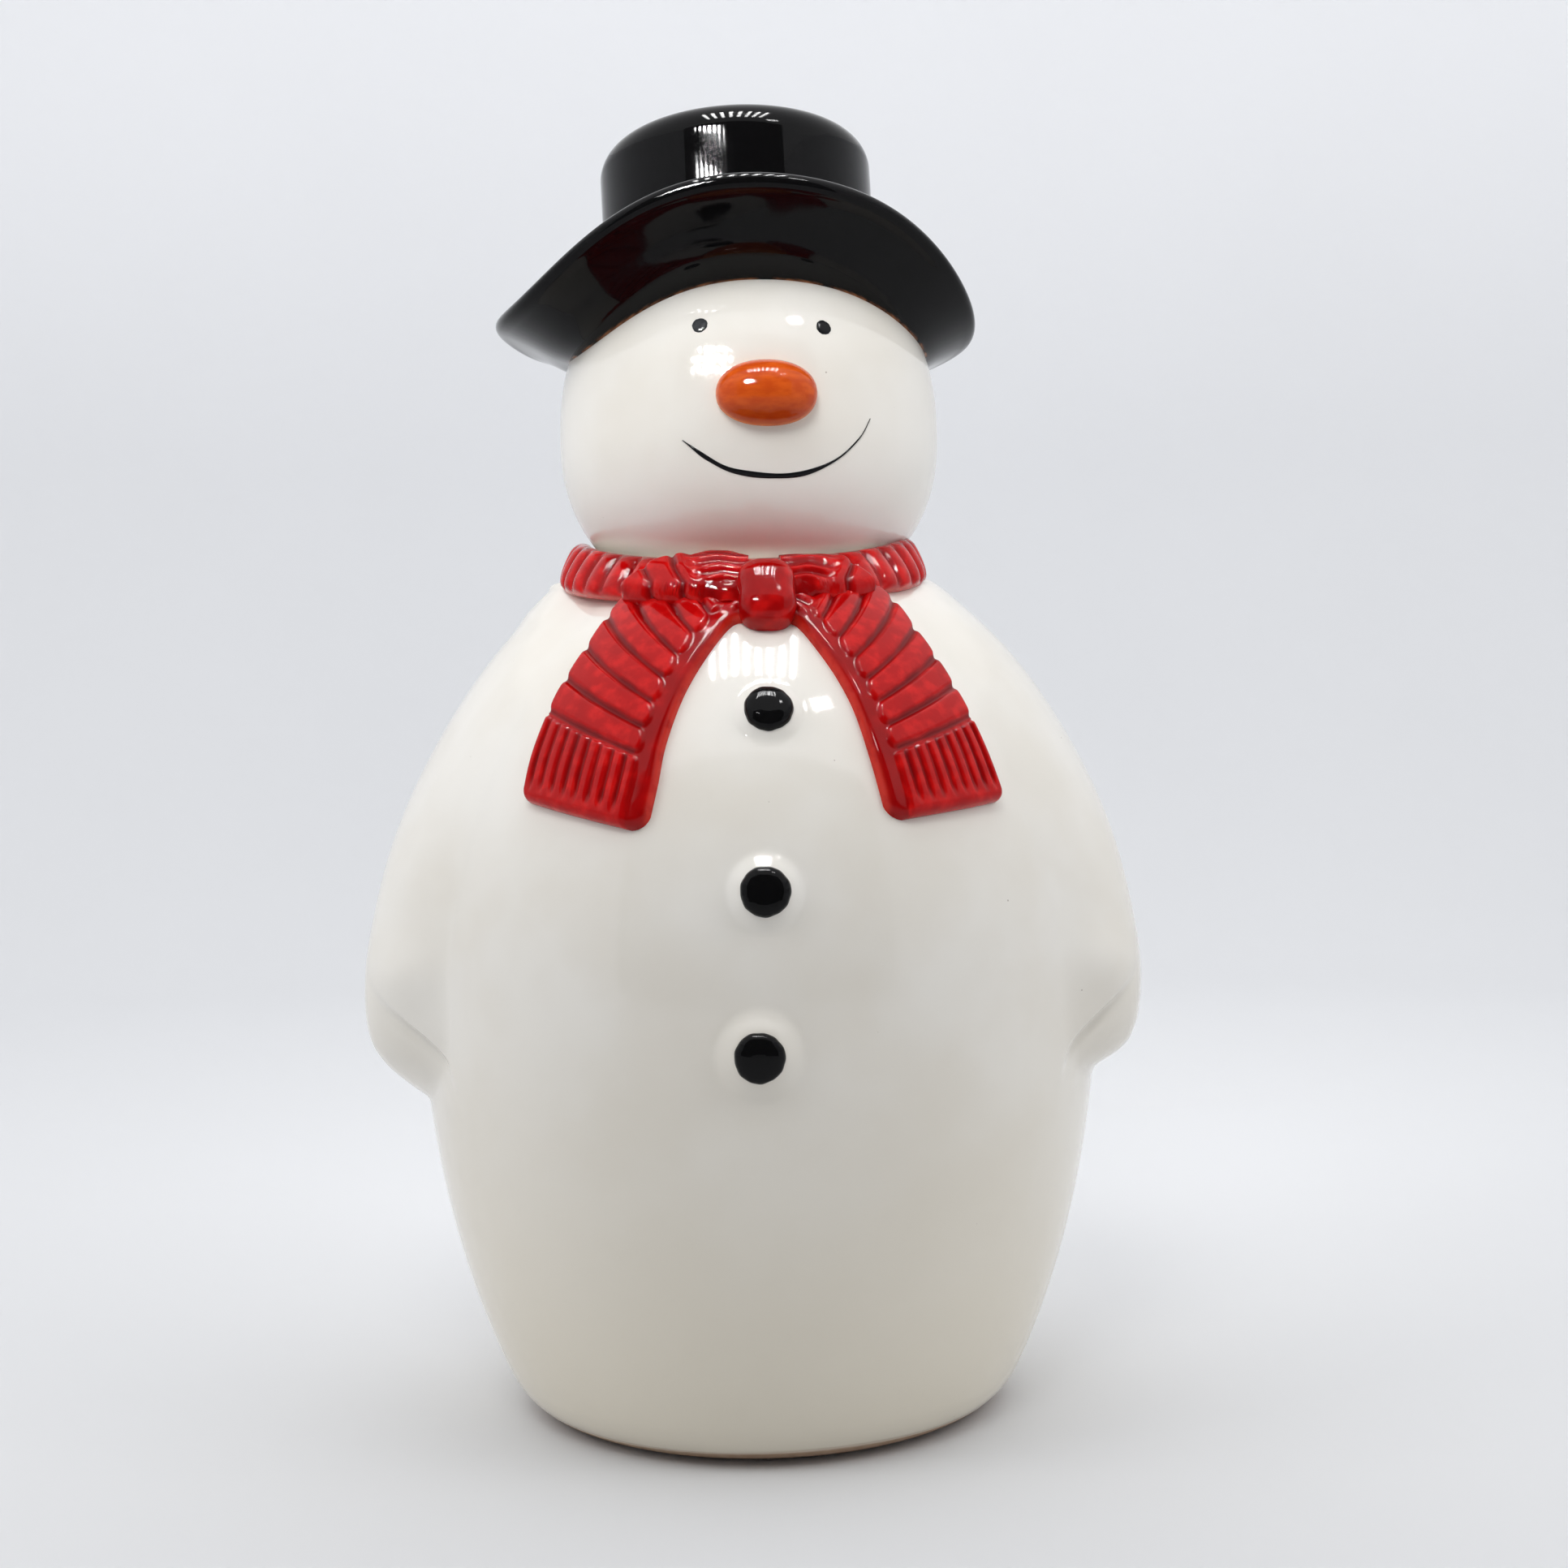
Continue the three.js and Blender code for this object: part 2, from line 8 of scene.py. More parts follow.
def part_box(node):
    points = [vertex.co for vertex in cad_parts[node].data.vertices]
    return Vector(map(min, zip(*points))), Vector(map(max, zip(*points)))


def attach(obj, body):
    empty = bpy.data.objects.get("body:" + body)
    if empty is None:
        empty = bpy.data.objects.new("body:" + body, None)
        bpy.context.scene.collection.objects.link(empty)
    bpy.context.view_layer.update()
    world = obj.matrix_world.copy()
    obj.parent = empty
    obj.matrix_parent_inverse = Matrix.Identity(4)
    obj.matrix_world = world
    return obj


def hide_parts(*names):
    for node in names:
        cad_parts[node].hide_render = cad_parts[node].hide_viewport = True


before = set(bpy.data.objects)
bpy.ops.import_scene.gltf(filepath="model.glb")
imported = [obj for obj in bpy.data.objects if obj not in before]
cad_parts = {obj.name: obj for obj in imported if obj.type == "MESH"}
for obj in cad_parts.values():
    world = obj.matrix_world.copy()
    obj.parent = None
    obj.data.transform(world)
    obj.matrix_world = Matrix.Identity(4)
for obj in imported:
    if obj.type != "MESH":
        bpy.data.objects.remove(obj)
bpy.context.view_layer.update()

# The looks of a glazed earthenware snowman: smooth skins in place of the faceted CAD castings.
# Outlines are worked out in millimetres and degrees, as in the CAD, and become metres in add_piece.
# Angles run from the front (-Y) towards +X. "Left" is the side at negative angles.

MM = 0.001

# ---------- driving dimensions, as in the CAD ----------

JOINT_GAP = 0.3
WALL = 4
BODY_RADIUS = 81
WAIST_Z = 105
BODY_UP = 99
BODY_DOWN = 147
FOOT_RADIUS = 47.5
FOOT_ROUND = 15
FOOT_ROUND_END = 27
FOOT_RING_INNER = 41
RECESS_Z = 4
FLOOR_Z = 8.5
RING_SIDE = [(-2.6, RECESS_Z), (-1.6, RECESS_Z - 0.7), (-0.4, 0.5), (0.4, 0)]  # past FOOT_RING_INNER, z
NECK_Z = 196.5
NECK_BORE = 26.5
NECK_RIM_RADIUS, NECK_RIM_DEPTH = 28.5, 4  # the head's rim, which sits in the body's neck
NECK_SOCKET = NECK_RIM_RADIUS + JOINT_GAP
BACK_FULLNESS = 1.02
HOLE_RADIUS = 15
HOLE_BEVEL = 0.5
INSIDE_RUNS = [(188, 158, 8), (150, FLOOR_Z, 16)]  # rows down the inside: from z, to z, how many
INSET = 0.15  # keeps the smooth skin within the corners of the faceted CAD skin

ARM_RELIEF = {
    "left": [
        (73.6, 0), (77.6, 4.2), (83.6, 9.4), (90.5, 12.3), (103, 12.5), (125, 9.9),
        (155, 7.9), (180, 8.4), (188, 11), (193, 13.2), (195.3, 14.4), (NECK_Z, 0),
    ],
    "right": [
        (77, 0), (79.5, 1.3), (81.7, 4.4), (84, 7), (87, 8.8), (92.5, 10.1), (103, 10.3),
        (125, 8.2), (155, 6.5), (180, 6.8), (188, 7.4), (195.3, 8.4), (NECK_Z, 0),
    ],
}
ARM_HAND = {"z": 95, "centre": 87, "half_width": 31, "soft": 0.55}
ARM_SHOULDER = {"z": 175, "centre": 95, "half_width": 46, "soft": 1}
HAND_END = 23  # the hand narrows to a point this far below ARM_HAND's height
HAND_NARROWEST = 0.98  # share of HAND_END where the narrowing stops

# On each arm, in degrees and mm: the back of the hand, and the crease under it.
HAND = {"turn": 64, "z": 104, "half_width": 8, "half_height": 7.5, "height": 2.2}
CREASE = {"z": 91.3, "slope": 1.05, "half_length": 6, "width": 2.1, "depth": 1.7}

HEAD_RADIUS = 45.5
HEAD_Z = 228
HEAD_UP, HEAD_UP_POWER = 44, 2.5
HEAD_DOWN, HEAD_DOWN_POWER = 40, 2.2
HEAD_TOP_Z = 262
HEAD_TOP_BORE = 27
HEAD_CEILING_Z = 261
HEAD_INSIDE_Z = [256, 250, 242, 234, 226, 218, 210, 205, 202]
HEAD_NECK_Z = 200  # bottom of the head's hollow, where the bore of the neck starts

HAT_CENTRE = (-1.8, -0.4, 261.4)
HAT_TILT_BACK = 4.4
BRIM_LEAN = 1.4
CROWN_LEAN = 2.2
CROWN_SHIFT = 0.8
CROWN_RADIUS = 32.7
CROWN_BOTTOM = 1
CROWN_TOP = 38.5
CROWN_ROUND = 7
CROWN_DOME = 0.8
CEILING_FALL = 0.5  # of the crown's inside, from its middle to its corner
PINHOLE = 0.02  # radius at which the crown's rings close on the axis
BRIM_RADIUS = 55.6
BRIM_SHIFT = (-1, 0.5)
BRIM_EDGE = 2
BRIM_WAVES = [(1, 1.4, -74), (2, 8.5, 13.6), (4, 1.7, 6.3), (5, 1.4, -25)]  # count, height, turn
ROOT_FOLLOW = 0.6  # share of the waves that the brim's root follows
BRIM_ROOT = CROWN_RADIUS + 0.2

# The brim's section as (radius, height): below, above, and on the side that the hat hides.
BRIM_UNDER = [(31, -14), (38, -11.6), (44, -9), (50, -5.2), (54, -2.9)]
BRIM_OVER = [
    (52.5, 0.9), (48, -0.4), (43.5, 1.2), (38.5, 3.2), (34.6, 4.6),
    (BRIM_ROOT, 7.5), (BRIM_ROOT - 0.7, 9.5),
]
BRIM_HIDDEN = [(31, 9), (30.2, 0), (30.2, -12)]

FRONT_DRIFT = 0.038  # degrees to the right in each mm of height: the figure's front leans a little
FRONT_DRIFT_FROM_Z = 72

NOSE_Z = 231.3
NOSE_SIZE = (11.2, 8, 7.3)  # half width, depth, half height
MOUTH_LINE = [
    (-18, 221.6), (-11.3, 217.6), (-4, 214.7), (7, 213.5),
    (17.2, 214.2), (26.7, 217.4), (33.8, 222.4), (37.4, 226.9),
]
MOUTH_WIDTH = 1.15

BUTTON_RADIUS = 4.9
BUTTON_CAP = 1.8
BUTTONS = {
    "top": {"z": 160.8, "mound": 6.4, "height": 1.6},
    "middle": {"z": 124, "mound": 7.6, "height": 2.2},
    "bottom": {"z": 91.4, "mound": 8.8, "height": 2.8},
}

# Collar sections as (radius, z) at the side and at the front, and tail edges as (degrees, z).
COLLAR_SIDE = [
    (36, 192.8), (42, 192.8), (43.6, 195.2), (42.8, 199.5),
    (40.4, 204.2), (37.6, 204.6), (34, 201), (31.5, 194),
]
COLLAR_FRONT = [
    (38, 186), (47.6, 185.4), (48.8, 187.6), (45.5, 191.6),
    (41, 195), (36, 196.2), (32.5, 195), (31.5, 192),
]
COLLAR_DIP_POWER = 1.3
COLLAR_SHIFT = -1.9
TAILS = {
    "left": {
        "inner": [
            (0, 180.5), (-4, 179.6), (-8.3, 173.6), (-12, 165),
            (-14.2, 154.6), (-14.9, 145.7), (-16, 136),
        ],
        "outer": [
            (0, 195), (-12, 195.6), (-24, 195), (-31.7, 191.8), (-35.4, 186.4),
            (-37.2, 175), (-39.1, 164.8), (-39.9, 152.8), (-39.4, 142.8),
        ],
    },
    "right": {
        "inner": [
            (9, 180.5), (11.5, 179), (14.2, 174.5), (16.9, 168.4),
            (18.9, 161.1), (20.1, 151.2), (21.4, 137.4),
        ],
        "outer": [
            (9, 195), (17, 195.4), (27, 195), (34.5, 190.9), (39.5, 185.8),
            (40.2, 178), (41.4, 170.2), (43.4, 155), (44.4, 141),
        ],
    },
}


# ---------- small tools ----------


def smooth(share):
    share = np.clip(share, 0, 1)
    return share * share * (3 - 2 * share)


def dip(distance, width):
    """1 at distance 0, falling smoothly to 0 over about the width."""
    return np.exp(-((distance / width) ** 2))


def ring_point(radius, degrees, z):
    angle = np.radians(degrees)
    radius, angle, z = np.broadcast_arrays(radius, angle, z)
    return np.stack([radius * np.sin(angle), -radius * np.cos(angle), z], -1).astype(float)


def angle_and_radius(points):
    x, y = points[..., 0], points[..., 1]
    return np.degrees(np.arctan2(x, -y)), np.hypot(x, y)


def spline(points, count, closed=False):
    """Evenly spaced points on a smooth curve through the given ones."""
    points = np.array(points, float)
    if closed:
        padded = np.vstack([points[-1:], points, points[:2]])
    else:
        padded = np.vstack([2 * points[:1] - points[1:2], points, 2 * points[-1:] - points[-2:-1]])
    steps = 24
    share = (np.arange(steps) / steps)[:, None]
    curve = []
    for a, b, c, d in zip(padded, padded[1:], padded[2:], padded[3:]):
        curve.append(
            b
            + share * (c - a) / 2
            + share**2 * (a - 2.5 * b + 2 * c - d / 2)
            + share**3 * (1.5 * (b - c) + (d - a) / 2)
        )
    curve = np.vstack([*curve, padded[-2:-1]])
    length = np.concatenate([[0], np.cumsum(np.linalg.norm(np.diff(curve, axis=0), axis=1))])
    wanted = np.linspace(0, length[-1], count, endpoint=not closed)
    return np.stack([np.interp(wanted, length, curve[:, k]) for k in range(points.shape[1])], -1)


def grid_normals(points, turn_closed):
    """Unit normals of a grid of points, rows along and columns across."""
    down = np.gradient(points, axis=0)
    if turn_closed:
        across = np.roll(points, -1, 1) - np.roll(points, 1, 1)
    else:
        across = np.gradient(points, axis=1)
    normal = np.cross(across, down)
    return normal / np.maximum(np.linalg.norm(normal, axis=-1, keepdims=True), 1e-12)


def quads(rows, columns, rows_closed, columns_closed):
    i = np.arange(rows if rows_closed else rows - 1)
    j = np.arange(columns if columns_closed else columns - 1)
    i, j = np.meshgrid(i, j, indexing="ij")
    below, right = (i + 1) % rows, (j + 1) % columns
    corners = [i * columns + j, i * columns + right, below * columns + right, below * columns + j]
    return np.stack(corners, -1).reshape(-1, 4)


def outward(vertices, faces):
    """The faces, turned over if the closed mesh has its inside out."""
    volume = 0
    for face in faces:
        if len(face):
            a = vertices[face[:, 0]]
            for k in range(1, face.shape[1] - 1):
                b, c = vertices[face[:, k]], vertices[face[:, k + 1]]
                volume += np.einsum("ij,ij->i", a, np.cross(b, c)).sum()
    return [face[:, ::-1] if volume < 0 else face for face in faces]


def add_mesh(name, vertices, faces, material):
    """A smooth-shaded object, with its vertices in metres."""
    mesh = bpy.data.meshes.new(name)
    mesh.from_pydata(vertices.tolist(), [], faces)
    mesh.polygons.foreach_set("use_smooth", np.ones(len(mesh.polygons), bool))
    mesh.materials.append(material)
    thing = bpy.data.objects.new(name, mesh)
    bpy.context.collection.objects.link(thing)
    return thing


def add_piece(name, shape, material, node, values=None, body="figure"):
    """A closed mesh that stands for a CAD node. values are numbers per vertex for its material."""
    vertices, faces = shape
    fours, threes = outward(vertices, faces)
    piece = add_mesh(name, vertices * MM, fours.tolist() + threes.tolist(), material)
    for key, value in (values or {}).items():
        attribute = piece.data.attributes.new(key, "FLOAT", "POINT")
        attribute.data.foreach_set("value", np.asarray(value, np.float32).ravel())
    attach(piece, body)
    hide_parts(node)


def ring_mesh(points):
    """A grid closed both ways, as vertices and two arrays of faces, with four and three corners."""
    rows, columns = points.shape[:2]
    return points.reshape(-1, 3), [quads(rows, columns, True, True), np.zeros((0, 3), int)]


def round_mesh(points):
    """A grid closed round each row, with its first and last rows filled in."""
    rows, columns = points.shape[:2]
    vertices = np.vstack([points.reshape(-1, 3), points[0].mean(0), points[-1].mean(0)])
    j = np.arange(columns)
    right = (j + 1) % columns
    first, last = rows * columns, rows * columns + 1
    base = (rows - 1) * columns
    fans = np.vstack([
        np.stack([np.full(columns, first), right, j], -1),
        np.stack([np.full(columns, last), base + j, base + right], -1),
    ])
    return vertices, [quads(rows, columns, False, True), fans]


def sheet_mesh(top, bottom):
    """Two grids of the same size, joined round their edges."""
    rows, columns = top.shape[:2]
    count = rows * columns
    upper = quads(rows, columns, False, False)
    lower = upper[:, ::-1] + count
    edge = np.concatenate([
        np.arange(columns),
        np.arange(1, rows) * columns + columns - 1,
        (rows - 1) * columns + np.arange(columns - 2, -1, -1),
        np.arange(rows - 2, 0, -1) * columns,
    ])
    following = np.roll(edge, -1)
    side = np.stack([following, edge, edge + count, following + count], -1)
    vertices = np.vstack([top.reshape(-1, 3), bottom.reshape(-1, 3)])
    return vertices, [np.vstack([upper, lower, side]), np.zeros((0, 3), int)]


# ---------- outlines ----------


def front_turn(z):
    """The angle of the figure's front at a height."""
    return FRONT_DRIFT * (z - FRONT_DRIFT_FROM_Z)


def body_radius(z, clear=0):
    reach = np.where(z > WAIST_Z, BODY_UP + clear, BODY_DOWN)
    return (BODY_RADIUS + clear) * np.sqrt(np.maximum(0, 1 - ((z - WAIST_Z) / reach) ** 2))


def head_radius(z, clear=0):
    up = z > HEAD_Z
    reach = np.where(up, HEAD_UP, HEAD_DOWN) + clear
    power = np.where(up, HEAD_UP_POWER, HEAD_DOWN_POWER)
    share = np.clip(np.abs(z - HEAD_Z) / reach, 0, 1)
    return (HEAD_RADIUS + clear) * (1 - share**power) ** (1 / power)


def arm_height(side, z):
    curve = spline(ARM_RELIEF[side], 600)
    return np.interp(z, curve[:, 0], np.maximum(0, curve[:, 1]), left=0, right=0)


def arm_relief(degrees, z):
    """How far the arms stand out from the body."""
    rise = smooth((z - ARM_HAND["z"]) / (ARM_SHOULDER["z"] - ARM_HAND["z"]))
    centre, half_width, soft = (
        ARM_HAND[key] + (ARM_SHOULDER[key] - ARM_HAND[key]) * rise
        for key in ("centre", "half_width", "soft")
    )
    below = np.clip((ARM_HAND["z"] - z) / HAND_END, 0, HAND_NARROWEST)
    off_centre = np.abs(np.abs(degrees) - centre) / (half_width * np.sqrt(1 - below**2))
    height = np.where(degrees < 0, arm_height("left", z), arm_height("right", z))
    return height * smooth((1 - off_centre) / soft)


def on_surface(radius_at, degrees, z, height=0):
    """Points on a surface of revolution, raised along its normal, and the normals."""
    step = 0.1
    slope = (radius_at(z + step) - radius_at(z - step)) / (2 * step)
    normal = ring_point(1, degrees, -slope)
    normal /= np.linalg.norm(normal, axis=-1, keepdims=True)
    return ring_point(radius_at(z), degrees, z) + normal * np.asarray(height)[..., None], normal


def spread_angles(count, peaks):
    """Angles round a full turn, closer together near the peaks (degrees, spread, strength)."""
    fine = np.linspace(-180, 180, 7201)
    density = np.ones_like(fine)
    for degrees, spread, strength in peaks:
        density += strength * dip(fine - degrees, spread)
    total = np.concatenate([[0], np.cumsum((density[1:] + density[:-1]) / 2)])
    return np.interp(np.arange(count) / count * total[-1], total, fine)


# ---------- body ----------

SHOULDER_Z = 184  # above it the rows close up towards the neck
BODY_FINE = [(2, 9, 2.6), (-62, 12, 1.6), (62, 12, 1.6)]  # buttons and hands: degrees, spread, strength
MOUND_FLAT = 0.75  # share of the button's radius
MOUND_SOFT = 1.2  # blends the mound's foot into the body
BARE_HEIGHT = 3.9  # the glaze stops about this far above the foot, in an uneven line
BARE_WAVES = [(2, 0.3, 40), (5, 0.15, 10)]  # count, height, turn
BARE_FROM = FOOT_RING_INNER - 2  # radius where the bare clay starts, under the foot


def hand_relief(degrees, z):
    """The back of each hand, with a crease under it."""
    round_turn = BODY_RADIUS * np.radians(1)  # mm of arc in a degree
    across, down = (np.abs(degrees) - HAND["turn"]) * round_turn, z - HAND["z"]
    back_of_hand = dip(across, HAND["half_width"]) * dip(down, HAND["half_height"])
    crease_z = CREASE["z"] + CREASE["slope"] * across
    along_crease = dip(across, CREASE["half_length"])
    below = z - crease_z
    fold = dip(below, CREASE["width"]) + 0.5 * dip(below + CREASE["width"], 2 * CREASE["width"])
    return HAND["height"] * back_of_hand - CREASE["depth"] * fold * along_crease


def body_rows():
    """The body's closed section as radius and z, and whether each row is on the outside."""
    foot = np.radians(np.linspace(-90, -FOOT_ROUND_END, 16))
    side_z = np.linspace(FOOT_ROUND + FOOT_ROUND * math.sin(foot[-1]), SHOULDER_Z, 230)[1:]
    shoulder_z = NECK_Z - (NECK_Z - SHOULDER_Z) * (1 - np.linspace(0, 1, 36)[1:]) ** 2
    side_z = np.concatenate([side_z, shoulder_z])
    inner_up = BODY_UP - WALL

    def inner(z):
        reach = np.where(z > WAIST_Z, inner_up, BODY_DOWN)
        return (BODY_RADIUS - WALL) * np.sqrt(1 - ((z - WAIST_Z) / reach) ** 2)

    socket_bottom = WAIST_Z + inner_up * math.sqrt(1 - (NECK_SOCKET / (BODY_RADIUS - WALL)) ** 2)
    inside_z = np.concatenate([np.linspace(*run) for run in INSIDE_RUNS])
    outside = [
        (FOOT_RADIUS + FOOT_ROUND * math.cos(a), FOOT_ROUND + FOOT_ROUND * math.sin(a)) for a in foot
    ]
    outside += list(zip(body_radius(side_z), side_z))
    inside = [(NECK_SOCKET, NECK_Z), (NECK_SOCKET, socket_bottom)]
    inside += list(zip(inner(inside_z), inside_z))
    base = [(HOLE_RADIUS, FLOOR_Z), (HOLE_RADIUS, RECESS_Z + HOLE_BEVEL)]
    base += [(HOLE_RADIUS + HOLE_BEVEL, RECESS_Z)]
    base += [(FOOT_RING_INNER + past, z) for past, z in RING_SIDE]
    rows = np.array(outside + inside + base)
    return rows, np.arange(len(rows)) < len(outside)


def build_body(material):
    degrees = spread_angles(430, BODY_FINE)
    rows, outside = body_rows()
    radius = np.repeat(rows[:, :1], len(degrees), 1)
    z = np.repeat(rows[:, 1:], len(degrees), 1)
    across = np.repeat(degrees[None], len(rows), 0)
    relief = np.where(radius > NECK_SOCKET + 1, arm_relief(across, z), 0)
    relief = relief + hand_relief(across, z) * outside[:, None]
    points = ring_point(radius + relief - INSET, across, z)
    points[..., 1] *= np.where(points[..., 1] > 0, BACK_FULLNESS, 1)
    normals = grid_normals(points, True)
    for button in BUTTONS.values():
        seat, _ = on_surface(body_radius, front_turn(button["z"]), np.array(button["z"]))
        distance = np.linalg.norm(points - seat, axis=-1)
        foot = button["mound"] + MOUND_SOFT
        rise = button["height"] * smooth((foot - distance) / (foot - BUTTON_RADIUS * MOUND_FLAT))
        points = points + normals * (rise * outside[:, None])[..., None]
    glaze_line = BARE_HEIGHT + sum(
        height * np.sin(np.radians(count * across + turn)) for count, height, turn in BARE_WAVES
    )
    values = {"bare": smooth(glaze_line - z) * (radius > BARE_FROM) * outside[:, None]}
    add_piece("body_skin", ring_mesh(points), material, "body_shell", values)


# ---------- head ----------

HEAD_FINE = [(5, 30, 0.6)]  # the face: degrees, spread, strength


def build_head(material):
    degrees = spread_angles(300, HEAD_FINE)
    rim_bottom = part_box("head_shell")[0].z / MM
    bottom = rim_bottom + NECK_RIM_DEPTH + JOINT_GAP
    outer_z = np.linspace(bottom, HEAD_TOP_Z, 130)
    inner_z = np.array(HEAD_INSIDE_Z)
    rows = list(zip(head_radius(outer_z), outer_z))
    rows += [(HEAD_TOP_BORE, HEAD_TOP_Z), (HEAD_TOP_BORE, HEAD_CEILING_Z)]
    rows += list(zip(head_radius(inner_z, -WALL), inner_z))
    rows += [(NECK_BORE, HEAD_NECK_Z), (NECK_BORE, rim_bottom)]
    rows += [(NECK_RIM_RADIUS, rim_bottom), (NECK_RIM_RADIUS, bottom)]
    rows = np.array(rows)
    shape = ring_mesh(ring_point(rows[:, :1], degrees[None], rows[:, 1:]))
    values = {"bare": np.zeros(len(shape[0]))}
    add_piece("head_skin", shape, material, "head_shell", values)


# ---------- hat ----------

# The brown line of thin glaze where the brim meets the head.
FRINGE_CENTRE = 0.15  # mm out from the head
FRINGE_WIDTH = 0.35
FRINGE_INNER = 30  # radius inside which nothing shows
UNDER_ROWS = 45  # rows of the brim's section that face down


def in_hat_frame(points, lean, shift=0):
    back = Matrix.Rotation(math.radians(-HAT_TILT_BACK), 3, "X")
    turn = back @ Matrix.Rotation(math.radians(-lean), 3, "Y")
    return (points + np.array([shift, 0, 0])) @ np.array(turn).T + np.array(HAT_CENTRE)


def build_crown(material):
    degrees = np.linspace(-180, 180, 240, endpoint=False)
    corner = np.radians(np.linspace(0, 90, 24))
    flat = CROWN_RADIUS - CROWN_ROUND
    side_top = CROWN_TOP - CROWN_ROUND
    rows = [(CROWN_RADIUS, z) for z in np.linspace(CROWN_BOTTOM, side_top, 16)[:-1]]
    rows += [(flat + CROWN_ROUND * math.cos(a), side_top + CROWN_ROUND * math.sin(a)) for a in corner]
    for share in np.linspace(0.9, PINHOLE / flat, 12):
        rows.append((flat * share, CROWN_TOP + CROWN_DOME * (1 - share**2)))
    rows += [(PINHOLE, CROWN_TOP - WALL), (flat, CROWN_TOP - WALL - CEILING_FALL)]
    rows += [(CROWN_RADIUS - WALL, side_top - 2 * CEILING_FALL), (CROWN_RADIUS - WALL, CROWN_BOTTOM)]
    rows = np.array(rows)
    level = ring_point(rows[:, :1], degrees[None], rows[:, 1:])
    shape = ring_mesh(in_hat_frame(level, CROWN_LEAN, CROWN_SHIFT))
    values = {"fringe": np.zeros(len(shape[0]))}
    add_piece("crown_skin", shape, material, "hat_crown", values)


def brim_wave(degrees):
    return sum(
        height * np.cos(np.radians(count * (degrees - turn))) for count, height, turn in BRIM_WAVES
    )


def build_brim(material):
    degrees = np.linspace(-180, 180, 420, endpoint=False)
    rim = np.radians(np.linspace(-75, 105, 8))
    rim_arc = [(BRIM_RADIUS + BRIM_EDGE * math.cos(a), BRIM_EDGE * math.sin(a)) for a in rim]
    seen = spline(BRIM_UNDER + rim_arc + BRIM_OVER, 120)
    rows = np.vstack([seen, BRIM_HIDDEN])
    radius = np.repeat(rows[:, :1], len(degrees), 1)
    share = np.clip((radius - CROWN_RADIUS) / (BRIM_RADIUS - CROWN_RADIUS), 0, 1)
    z = rows[:, 1:] + brim_wave(degrees)[None] * (ROOT_FOLLOW + (1 - ROOT_FOLLOW) * share)
    level = ring_point(radius, degrees[None], z)
    level[..., :2] += share[..., None] * np.array(BRIM_SHIFT)
    points = in_hat_frame(level, BRIM_LEAN)
    _, world_radius = angle_and_radius(points)
    above_head = world_radius - head_radius(points[..., 2])
    is_under = (np.arange(len(rows)) < UNDER_ROWS)[:, None] & (world_radius > FRINGE_INNER)
    values = {"fringe": is_under * dip(above_head - FRINGE_CENTRE, FRINGE_WIDTH)}
    add_piece("brim_skin", ring_mesh(points), material, "hat_brim", values)


# ---------- scarf ----------

RIB_TURN = 360 / 42  # degrees from one collar rib to the next
RIB_DEPTH = 0.9
RIB_GROOVE_TURN = 1.1
RIB_SWELL = 0.25

TAIL_HEIGHT = 2.5  # of the smooth border over the body
TAIL_SIDE = 2.1  # how far in from its edge a tail reaches its full height
TAIL_SINK = 0.8  # how far the edge sinks into what it lies on
TAIL_DEPTH = 1.2  # of the underside below what it lies on
TAIL_LENGTH = 70  # about: turns shares along a tail into mm
INNER_CORNER, OUTER_CORNER = 4.5, 2.5
BORDER_WIDTH = 5.2
FRINGE_START = 0.775  # share of the tail's length
INNER_SHARES = [(0, 0), (0.194, 0.04), (FRINGE_START, 0.727), (1, 1)]  # along the outer edge, the inner

BLOCKS = 7
BLOCK_STEP = 0.083  # share of the tail's length
BLOCK_HEIGHT = 0.9  # over the border
BLOCK_BULGE = 1.5  # how far a block's middle swells over the border
GROOVE_WIDTH = 0.62
FRINGE_GROOVES = 8
FRINGE_DEPTH = 0.75
FRINGE_HEIGHT = 0.8  # share of BLOCK_HEIGHT
GATHERS = 6
GATHER_HEIGHT = 0.8
BORDER_POOL = 0.42  # how deep the glaze lies on the border, from 0 to 1


def collar_front(degrees):
    return np.maximum(0, np.cos(np.radians(degrees))) ** COLLAR_DIP_POWER


def collar_top(degrees, z):
    """Outer radius of the collar at a height, and 0 above or below it."""
    front = collar_front(degrees)[..., None]
    side, dipped = np.array(COLLAR_SIDE[1:6], float), np.array(COLLAR_FRONT[1:6], float)
    section = side + (dipped - side) * front[..., None]
    radius = np.zeros_like(z)
    for k in range(len(side) - 1):
        low, high = section[..., k, :], section[..., k + 1, :]
        share = (z - low[..., 1]) / (high[..., 1] - low[..., 1])
        here = low[..., 0] + (high[..., 0] - low[..., 0]) * share
        radius = np.where((share >= 0) & (share <= 1), here, radius)
    return radius


def tail_ground(degrees, z):
    """What the tails lie on: the body, and the collar where it is higher."""
    body = body_radius(z)
    collar = collar_top(degrees, z) + COLLAR_SHIFT * np.sin(np.radians(degrees))
    over = smooth((collar - body + 0.5) / 1.5)
    return ring_point(body + (collar - body) * over, degrees, z)


